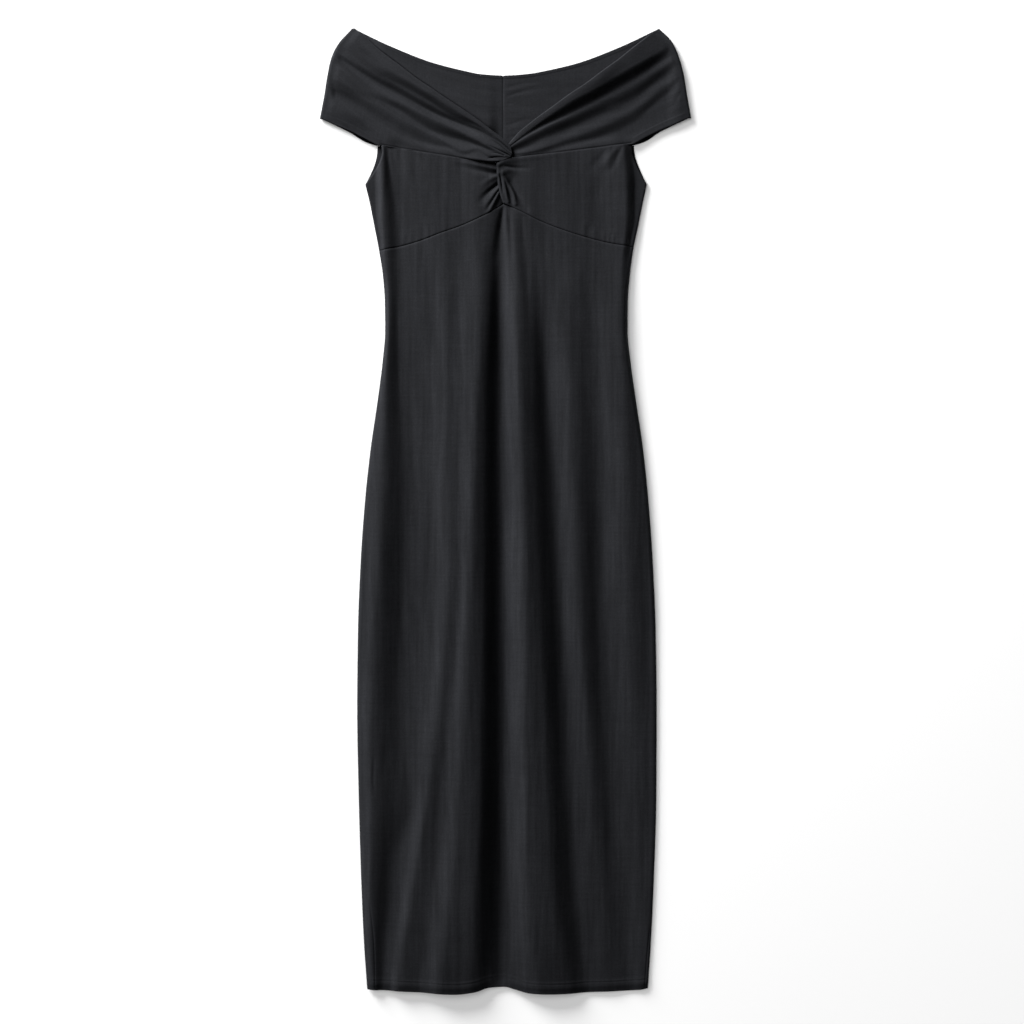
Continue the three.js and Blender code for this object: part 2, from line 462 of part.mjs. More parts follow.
// ------------------------------------------------------------------ back body
function backBody() {
  const s = new THREE.Shape();
  const pts = [];
  const sides = [...SIDES];
  for (const r of sides) pts.push([r.left, r.y]);
  pts[pts.length - 1] = [-186.6, HEM_BACK + 1];
  pts.push([-140, HEM_BACK], [0, HEM_BACK - 0.8], [140, HEM_BACK], [192.0, HEM_BACK + 1]);
  for (const r of [...sides].reverse().slice(1)) pts.push([r.right, r.y]);
  pts.push([183.3, 458.9], [177.5, 472.4], [174.3, 484.5], [173.7, 492.9 - SEAM_GAP]);
  pts.push([87.1, 488.6 - SEAM_GAP], [-3.1, 487.2 - SEAM_GAP], [-88.4, 488.6 - SEAM_GAP]);
  pts.push([-173.2, 492.2 - SEAM_GAP], [-173.4, 484.5], [-175.8, 472.4], [-181.2, 458.2]);
  pts.forEach(([x, y], i) => (i ? s.lineTo(x + SHIFT_X, y + SHIFT_Y) : s.moveTo(x + SHIFT_X, y + SHIFT_Y)));
  s.closePath();
  const g = new THREE.ExtrudeGeometry(s, { depth: CLOTH, bevelEnabled: false });
  const mesh = new THREE.Mesh(g, jersey);
  mesh.name = 'back_body';
  return mesh;
}

const group = new THREE.Group();
group.name = 'off_shoulder_dress';
group.add(backBody(), skirtFront(), cup('cup_left', -1), cup('cup_right', 1), band('band_left', -1), band('band_right', 1));
export default group;
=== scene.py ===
# Off-shoulder jersey dress, laid flat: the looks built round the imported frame.
# Lengths in the tables are on a grid of 1.35 mm (GRID), x to the right and y
# down the dress, which puts every fold where it was seen; heights are in mm.
import math
import bpy
import numpy as np
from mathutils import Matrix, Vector


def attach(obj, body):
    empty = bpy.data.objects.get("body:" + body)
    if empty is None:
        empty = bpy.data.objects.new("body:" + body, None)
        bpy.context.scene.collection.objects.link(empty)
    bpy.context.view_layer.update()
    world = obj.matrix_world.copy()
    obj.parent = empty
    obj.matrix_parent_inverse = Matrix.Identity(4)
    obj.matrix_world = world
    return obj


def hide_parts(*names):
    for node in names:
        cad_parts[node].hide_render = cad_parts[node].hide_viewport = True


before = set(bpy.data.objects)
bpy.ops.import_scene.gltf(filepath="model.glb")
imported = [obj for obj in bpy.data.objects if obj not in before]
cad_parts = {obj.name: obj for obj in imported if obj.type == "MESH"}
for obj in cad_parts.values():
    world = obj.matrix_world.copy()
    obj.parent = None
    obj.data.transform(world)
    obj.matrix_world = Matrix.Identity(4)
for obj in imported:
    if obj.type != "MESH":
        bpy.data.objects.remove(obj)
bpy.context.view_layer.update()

GRID = 1.35          # mm in one step of the grid
MID_X, MID_Y = 505.5, 510.9
CLOTH = 1.1          # mm, wall of the jersey
SIDE_LIFT = 1.95     # mm, height where the front's edge meets the back


def mm_x(x):
    return (np.asarray(x, float) - MID_X) * GRID


def mm_y(y):
    return (MID_Y - np.asarray(y, float)) * GRID


def ease(t):
    c = np.clip(t, 0.0, 1.0)
    return c * c * (3 - 2 * c)


def through(xs, ys, x):
    """Smooth curve through (xs, ys) that never overshoots its values, read at x."""
    xs, ys, x = np.asarray(xs, float), np.asarray(ys, float), np.asarray(x, float)
    h = np.diff(xs)
    d = np.diff(ys) / h
    m = np.zeros(len(xs))
    m[0], m[-1] = d[0], d[-1]
    same = d[:-1] * d[1:] > 0
    m[1:-1][same] = 2 * d[:-1][same] * d[1:][same] / (d[:-1] + d[1:])[same]
    i = np.clip(np.searchsorted(xs, x) - 1, 0, len(xs) - 2)
    t = np.clip((x - xs[i]) / h[i], 0, 1)
    t2, t3 = t * t, t * t * t
    return ((2 * t3 - 3 * t2 + 1) * ys[i] + (t3 - 2 * t2 + t) * h[i] * m[i]
            + (-2 * t3 + 3 * t2) * ys[i + 1] + (t3 - t2) * h[i] * m[i + 1])


def spline(points, n):
    """n points along a smooth curve through the given ones, evenly spaced by length."""
    p = np.asarray(points, float)
    q = np.vstack([2 * p[0] - p[1], p, 2 * p[-1] - p[-2]])
    t = np.linspace(0, 1, 13)[:-1, None]
    out = []
    for k in range(len(p) - 1):
        a, b, c, d = q[k], q[k + 1], q[k + 2], q[k + 3]
        out.append(0.5 * (2 * b + (c - a) * t + (2 * a - 5 * b + 4 * c - d) * t**2 + (3 * b - a - 3 * c + d) * t**3))
    out = np.vstack(out + [p[-1:]])
    s = np.concatenate([[0], np.cumsum(np.linalg.norm(np.diff(out[:, :2], axis=0), axis=1))])
    want = np.linspace(0, s[-1], n)
    return np.stack([np.interp(want, s, out[:, k]) for k in range(out.shape[1])], axis=1)


# ------------------------------------------------------------------ outlines
SIDES = [  # y, left, right: the side seams
    (184, 365, 647), (200, 369, 643.5), (225, 374, 638.5), (250, 378.8, 633.3),
    (275, 382.7, 630), (300, 384.6, 628), (330, 385, 627.7), (360, 382.6, 630.4),
    (400, 377.5, 636), (450, 370.3, 643.3), (500, 364.9, 648.5), (560, 360.6, 652.8),
    (630, 357.8, 655.8), (710, 357, 656.8), (800, 358.6, 656.4), (880, 361, 654),
    (940, 363.6, 651.2), (990, 367, 648),
]
ARMHOLES = [  # y, left, right of the back; how far inside them the front's edge lies
    (144.5, 377.0, 634.4, 4.0), (152, 377.0, 634.6, 4.8), (161, 375.3, 637, 4.4),
    (171.5, 371.3, 641.3, 2.6), (184, 365, 647, 0.0),
]
SEAM_LEFT = [  # x, y: the seam under the bust
    (378.5, 250.7), (397.4, 246.9), (420.4, 240.5), (438, 233.9), (460.5, 226.0), (483.5, 215.7), (504.2, 203.8),
]
SEAM_RIGHT = [
    (504.2, 203.8), (521.6, 211.8), (538.5, 220.3), (562.7, 229.9), (587, 237.5), (611, 243.4), (633.8, 247.2),
]
HEM = [  # x, y of the front's lower edge
    (367, 990), (400, 991.3), (430, 992.6), (455, 993.6), (475, 991.6), (489, 988),
    (504, 987.4), (515, 990), (530, 993), (552, 993.6), (600, 992.4), (640, 990.5), (648, 989),
]
FOLD_LEFT = [(351.5, 28.6), (338.5, 43), (331, 58), (327, 76), (324, 95), (319.6, 118)]
FOLD_RIGHT = [(660, 28.6), (672, 41), (679, 56), (684, 74), (687.4, 95), (691.4, 117)]
NECK_BACK_LEFT = [(503.2, 75.2), (487, 74.2), (470, 71.8), (430, 61.6), (390, 46), (351.5, 28.6)]
NECK_BACK_RIGHT = [(503.2, 75.2), (520, 74.2), (540, 71.5), (580, 62), (620, 46.7), (660, 28.6)]
BACK_LOW_LEFT = [(503.2, 150), (440, 149), (377, 145.4), (348, 132.1), (319.6, 119.5)]
BACK_LOW_RIGHT = [(503.2, 150), (570, 149), (634.3, 144.9), (662, 131.4), (691.4, 118.5)]
NECK_LEFT = [(351.5, 28.6), (362, 36), (370, 43.2), (380, 52), (390, 59.8), (400, 67.2), (410, 75.2), (420, 82.6), (430, 89.2),
             (440, 96.2), (455, 106.2), (465, 112.8), (478, 121.8), (490, 130.8), (498, 136.8), (505, 142.2), (510.2, 147.3)]
LOW_LEFT = [(319.6, 117), (349, 129), (364, 136.8), (373, 141.6), (378.5, 144.1), (385, 145.2), (415, 150.5), (450, 156.2), (480, 161.3), (493, 163.2), (500.5, 162.3)]
NECK_RIGHT = [(660, 28.6), (654, 33.3), (648, 37.5), (640, 43.5), (630, 51.5), (620, 59.8), (610, 67.2), (600, 74.6), (585, 85.7),
              (570, 95.6), (555, 106.6), (540, 117.2), (530, 124.8), (520, 133), (512, 141.5), (506, 147.5)]
LOW_RIGHT = [(691.4, 115.4), (662, 127.3), (646, 135.3), (637.5, 140.1), (633, 142.4), (627, 143.3), (600, 147.0), (560, 152.2), (540, 154.5), (527, 155.9), (515, 157.1), (508, 157.3)]

# Long folds of the front. Each line runs down the dress: at the STATIONS (y)
# it lies at x and stands z mm high.
STATIONS = [144, 150, 184, 215, 240, 260, 300, 400, 500, 600, 700, 750, 800, 850, 900, 950, 990]
LONG_FOLDS = {
    "left strip": ([374.5, 375, 375.5, 376.2, 380.2, 381.5, 386, 379.5, 367.5, 363, 360.5, 360, 361, 362.5, 364, 367, 369.5],
                   [4.4, 4.4, 3.8, 4.0, 5.6, 6.0, 6.6, 7.2, 7.4, 7.4, 7.2, 7.2, 7.2, 7.0, 6.8, 6.4, 6]),
    "left crest": ([382.5, 382.8, 383, 383.4, 384.5, 386, 389, 385, 382, 377, 373, 372, 372, 372, 371, 371, 374],
                   [7.5, 9.0, 11, 11, 10.4, 9.4, 8.6, 9.8, 11.6, 12, 11.6, 11.2, 11, 10.4, 9.6, 8.6, 7.4]),
    "left valley": ([388, 388.5, 392.5, 398, 400, 399, 399, 402, 409, 408, 402, 404, 410, 399, 392, 386, 382],
                    [5.8, 6.0, 5.6, 5.2, 5.2, 5.4, 5.6, 4.8, 4.4, 4.2, 5.0, 5.6, 5.2, 4.6, 4.6, 5.0, 5.2]),
    "left foot": ([412, 412, 416, 424, 430, 431, 432, 432, 432, 432, 424, 418, 416, 408, 401, 393, 389],
                  [8.6, 8.6, 8.6, 8.4, 8.2, 8, 7.6, 7.2, 6.8, 6.6, 6.8, 7.2, 6.6, 6.0, 5.6, 5.8, 5.8]),
    "left ridge": ([440, 440, 442, 444, 446, 447, 448, 449, 450, 450, 441, 434, 427, 419, 412, 404, 399],
                   [10.2, 10.2, 10.4, 10.2, 10, 9.8, 9.8, 11, 12.2, 12.8, 12.8, 12.8, 12.6, 12, 11.2, 10.2, 9.2]),
    "left dip": ([458, 458, 457, 457, 457, 457, 457, 457, 459, 458, 450, 446, 441, 436, 430, 424, 418],
                 [10.6, 10.6, 10.6, 10.2, 9.9, 9.6, 9.6, 10.8, 12.2, 12.6, 12.2, 11.9, 11.5, 11.1, 10.6, 9.6, 8.6]),
    "middle ridge, left": ([480, 480, 480, 480, 480, 480, 480, 476, 472, 469, 466, 464, 461, 457, 452, 447, 443],
                   [12, 12, 12, 11.8, 11.6, 11.8, 12.6, 14.6, 15.8, 16.4, 16.8, 17, 17.2, 17.2, 17, 15.8, 13.6]),
    "middle shoulder": ([492, 492, 492, 491.5, 491, 489, 488.5, 484.5, 483, 482, 480.5, 479, 477, 475, 473, 471, 470],
                   [12.1, 12.1, 11.4, 10.8, 10.0, 9.8, 10.4, 12.2, 13.0, 13.8, 14.8, 15.4, 16.2, 16.4, 16.4, 15.2, 12.6]),
    "middle valley": ([503, 503, 503, 502.8, 501, 500, 499.5, 499.5, 501.5, 502, 502.4, 502.6, 502.8, 503, 503, 502.6, 502],
                   [11.6, 11.6, 9.5, 8.0, 6.0, 5.0, 3.4, 2.7, 2.6, 2.5, 2.4, 2.3, 2.3, 2.3, 2.4, 2.6, 3.0]),
    "middle ridge, right": ([523, 523, 522, 520, 518, 517.5, 518, 520, 523, 525, 526, 527, 528, 528.5, 530, 534, 542],
                   [12, 12, 11.4, 11.2, 11.4, 12.2, 14.0, 16.0, 16.6, 17.0, 17.2, 17.2, 17.2, 16.8, 16.2, 14.8, 12.4]),
    "right shoulder": ([534, 534, 533, 531, 530, 529.5, 530.5, 532, 535, 538.5, 542, 544, 545.5, 548, 552, 560, 566],
                   [11.8, 11.8, 11.2, 10.8, 10.4, 10.3, 11.2, 12.8, 13.4, 14.2, 15.0, 15.5, 15.8, 15.4, 14.6, 13.0, 10.8]),
    "right dip": ([545, 545, 544, 543, 542, 541, 543, 549, 555.5, 560.5, 566, 569, 571.5, 575, 579, 585, 589],
                   [11.4, 11.4, 10.9, 10.3, 9.8, 9.2, 7.8, 5.8, 4.4, 3.8, 4.4, 5.2, 5.8, 5.6, 5.2, 4.6, 4.4]),
    "right ridge": ([574, 574, 574, 574, 573, 573, 570, 571, 575, 579, 584, 588, 591, 596, 601, 605, 608],
                   [10.8, 10.8, 10.8, 10.6, 10.3, 10.2, 10.2, 10.3, 10.3, 9.8, 8.2, 7.6, 7.2, 6.8, 6.4, 5.6, 5.0]),
    "right valley": ([600, 600, 600, 600, 598, 596, 594, 597, 600, 602.5, 606.5, 610, 613.5, 618, 623, 627, 630],
                   [9.4, 9.4, 9.2, 9.2, 9.1, 8.8, 7.8, 6.2, 4.6, 3.3, 2.8, 2.8, 2.9, 2.9, 2.9, 3.2, 3.6]),
    "right crest": ([622, 623, 625.5, 625.5, 624, 621, 620, 623, 627, 630, 633, 636, 638, 639, 640, 640, 641],
                   [9, 10, 11, 11, 10.6, 10.4, 10.6, 10.4, 9.8, 8.2, 5.8, 5.0, 4.7, 4.4, 4.3, 4.3, 4.3]),
    "right strip": ([630, 631, 634.5, 634.5, 631, 629, 626.5, 634, 645, 649, 650, 650.5, 650, 649, 648, 646.5, 645.5],
                   [4.6, 4.6, 4.4, 4.8, 6.2, 7, 8.8, 8.2, 7.0, 5.8, 4.6, 4.4, 4.3, 4.3, 4.4, 4.4, 4.4]),
}
# Short creases of the front: a line through (x, y, height in mm, half width)
BODY_CREASES = {
    # from the left end of the band's seam, down the side of the cup
    "cup left, lit strip": [(387.5, 147, 0.0, 2.2), (389.5, 155, 0.7, 2.6), (392, 166, 0.9, 3), (396, 184, 0.4, 5), (400, 200, 0, 6)],
    "cup left, small valley": [(399, 148, 0, 2), (400, 153, -0.55, 2.6), (401, 163, -0.35, 3.5), (402, 176, 0, 4)],
    "cup left, small ridge": [(403, 148, 0, 2.4), (404.5, 155, 0.5, 3), (408, 172, 0.35, 5), (411, 190, 0, 6)],
    "cup left, slanting crease": [(406, 148, 0, 2), (411, 152.5, -0.7, 2.4), (418, 159.5, -0.6, 3.4), (426, 168, 0, 5)],
    "cup left, slow wave": [(408, 176, 0, 6), (417, 200, 0.4, 7), (429, 220, 0.3, 6), (433, 231, 0, 4)],
    "gather L1": [(403.5, 243, 0.3, 2), (403.5, 238, 0.42, 2.1), (402.5, 230, 0, 3)],
    "gather L2": [(411, 241, 0.35, 1.9), (411, 236, 0.45, 2), (410.5, 227, 0, 3)],
    "gather L3": [(419.6, 239, 0.4, 2), (419.4, 233, 0.5, 2.2), (418, 221, 0.2, 3), (416, 208, 0, 4)],
    "gather L4": [(428, 236, 0.4, 1.8), (427.6, 230, 0.55, 2), (426, 219, 0.15, 3), (424, 208, 0, 4)],
    "gather L5": [(434, 234, 0.3, 1.8), (434, 229, 0.42, 2), (433, 220, 0, 3)],
    "gather L6": [(445, 230, 0.2, 2), (445, 225, 0.25, 2.2), (445, 216, 0, 3)],
    # the side of the right cup
    "cup right, slanting crease": [(623, 145.5, 0, 2), (621, 149, -0.8, 2.3), (617, 158, -1.0, 2.7), (611.5, 168, -0.8, 3.4), (605, 176, 0, 5)],
    "cup right, slanting ridge": [(617, 147, 0, 2), (613.5, 152, 0.7, 2.3), (607, 161, 0.6, 2.8), (602, 170, 0, 4)],
    "cup right, second crease": [(608, 148, 0, 2.4), (604, 153, -0.5, 3), (596, 163, -0.6, 4), (585, 176, 0, 6)],
    "cup right, soft hollow": [(600, 178, 0, 7), (598, 190, -0.5, 9), (598, 205, 0, 10)],
    "gather R1": [(557, 227, 0.15, 2), (557, 222, 0.2, 2.4), (557, 214, 0, 3)],
    "gather R2": [(583.5, 236, 0.4, 1.6), (583.2, 230, 0.5, 1.8), (584, 220, 0, 3)],
    "gather R2b": [(588, 237, -0.3, 1.6), (588, 231, -0.35, 1.8), (588.5, 222, 0, 3)],
    "gather R3": [(594, 238.5, 0.35, 1.5), (594, 233, 0.42, 1.7), (594.5, 226, 0, 2.6)],
    "gather R4": [(604, 241, 0.4, 1.5), (604, 236, 0.5, 1.7), (604.5, 228, 0, 2.6)],
    "gather R5": [(608.6, 242, 0.35, 1.3), (608.6, 237, 0.5, 1.4), (609, 230, 0, 2)],
    "gather R6": [(613.4, 243, 0.4, 1.4), (613.4, 237.5, 0.55, 1.6), (614, 229, 0, 2.4)],
    "gather R7": [(624, 245, 0.2, 2), (624, 240, 0.3, 2.4), (624, 231, 0, 3)],
    # creases that fan from the twist, left cup
    "under the band, lip": [(448, 160.5, 0, 2), (470, 164.2, 0.5, 1.7), (487, 167.6, 0.9, 1.6), (497, 169.6, 0.9, 1.6)],
    "under the band, trough": [(455, 165.5, 0, 3), (466, 168.2, -0.6, 2.9), (480, 171.0, -1.4, 2.8), (490, 173.0, -2.1, 2.6), (498, 174.0, -2.4, 2.5)],
    "left lobe": [(478, 192, 0, 4), (486, 186, 0.7, 2.6), (492, 181.6, 0.9, 2.0), (498, 178.6, 0.8, 1.6)],
    "left lobe": [(478, 190, 0, 4), (486, 182.5, 0.8, 3), (492, 178.8, 1.1, 2.4), (498, 175.6, 1.0, 2)],
    "left trough A": [(477, 206, 0, 4), (482, 199.4, -0.9, 3.2), (487.4, 193.4, -1.8, 2.5), (492.6, 188.6, -2.4, 2.0), (498.6, 183.4, -2.4, 1.7)],
    "left ridge A": [(482, 211, 0, 3), (487.6, 203, 0.8, 2.3), (493.2, 195.4, 1.1, 1.7), (497.8, 189.4, 1.3, 1.3), (499.8, 186.6, 1.0, 1.2)],
    "left trough B": [(487, 211, 0, 1.8), (490.2, 204.4, -0.4, 1.4), (494.4, 197.4, -0.5, 1.2), (498.2, 191.2, -0.5, 1.0)],
    "left ridge B": [(487, 215, 0.4, 2.2), (491.4, 207.6, 1.3, 1.7), (495.2, 200.4, 1.7, 1.4), (498.8, 193, 1.7, 1.2)],
    "left pocket": [(493, 215, 0, 1.8), (496.4, 208, -0.5, 1.6), (498.8, 201, -0.6, 1.3), (500.4, 194, -0.6, 1.2)],
    # right cup
    "top lip": [(499.4, 165, 1.5, 2.2), (503, 162.6, 1.2, 2.8), (508, 161.2, 0.9, 3.4), (514, 160.2, 0.8, 3.4), (528, 158.5, 0.5, 3), (548, 156.4, 0.2, 2.4), (566, 154, 0, 2.2)],
    "top crease": [(504, 166.4, -0.3, 1.2), (507, 167.0, -0.9, 1.5), (512, 167.8, -1.3, 1.8), (518, 168.4, -1.0, 2.0), (526, 168.6, -0.5, 2.6), (534, 168.4, 0, 3)],
    "shoulder lobe": [(500.5, 175, 0.5, 2.4), (503.6, 172.6, 1.0, 3.0), (507, 171.0, 1.0, 2.8), (512, 171.2, 0.5, 2.6), (518, 173, 0.1, 3), (528, 176, 0, 5)],
    "right trough A": [(504, 171, -0.2, 1.6), (507.4, 178, -1.2, 2.2), (512, 185, -2.4, 2.7), (516, 192, -2.6, 3.0), (519.5, 199, -1.9, 3.4), (524, 207, -1.0, 4), (528, 214, 0, 5)],
    "right ridge A": [(504.6, 178, 0.4, 1.2), (508.2, 184, 1.8, 1.5), (511.0, 189, 2.6, 1.7), (514, 196, 2.6, 1.9), (515.5, 204, 1.4, 2.1)],
    "right trough B": [(505.6, 183, -0.3, 0.9), (507.4, 189, -1.1, 1.0), (509.6, 195, -1.2, 1.2), (511, 200, -0.5, 1.3), (511.6, 204, 0, 1.4)],
    "right ridge B": [(502.6, 172, 0.2, 0.9), (503.6, 180, 0.4, 1.0), (505.2, 188, 1.3, 1.2), (506.8, 196, 1.6, 1.3), (508.5, 202, 1.0, 1.4)],
    "roll slit": [(499.6, 173.5, 0, 1.0), (500.3, 177.5, -2.4, 1.05), (501.4, 183, -2.4, 1.0), (502.2, 188, -1.2, 0.9), (503.4, 194, 0, 0.9)],
}

SKIRT_CREASES = {
    "centre crease": [(503.6, 205.5, -0.4, 1.1), (502.0, 212, -2.2, 1.5), (500.6, 222, -2.6, 2.1), (498.8, 238, -1.9, 3), (497.5, 262, 0, 4)],
    "centre ridge": [(505.6, 206, 0.8, 1.1), (506.0, 214, 2.3, 1.6), (506.6, 226, 2.5, 2.1), (507.8, 245, 2.1, 3.0), (509.5, 275, 1.7, 4), (511.5, 320, 1.4, 5), (513.5, 400, 1.0, 6), (516, 500, 0.5, 7), (518, 600, 0, 8)],
    "second ridge": [(511.4, 209.5, 0.4, 1.4), (512.4, 218, 1.1, 1.9), (513.4, 232, 1.1, 2.3), (515, 256, 0.6, 3), (516, 290, 0, 4)],
    "hollow right of the middle": [(521, 213, 0, 2), (521.6, 219, -0.8, 2.4), (522.6, 230, -1.2, 2.8), (524.5, 252, -0.9, 3.6), (527, 285, -0.5, 4.6), (529, 330, 0, 6)],
    "side dent 1": [(373, 752, 0, 1.6), (374, 765, -0.7, 1.8), (373.5, 780, -0.8, 1.8), (375, 800, 0, 2)],
    "side dent 2": [(384, 735, 0, 3), (386, 755, -0.5, 3.5), (383, 785, 0, 4)],
    "skirt wave 1": [(424, 300, 0, 6), (421, 360, -0.45, 7), (424, 420, 0, 8)],
    "skirt wave 2": [(466, 300, 0, 5), (463, 380, 0.4, 6), (462, 470, 0, 7)],
    "skirt wave 3": [(546, 330, 0, 6), (545, 420, -0.4, 7), (551, 520, 0, 8)],
    "skirt wave 4": [(408, 480, 0, 7), (410, 560, 0.4, 8), (404, 660, 0, 9)],
}

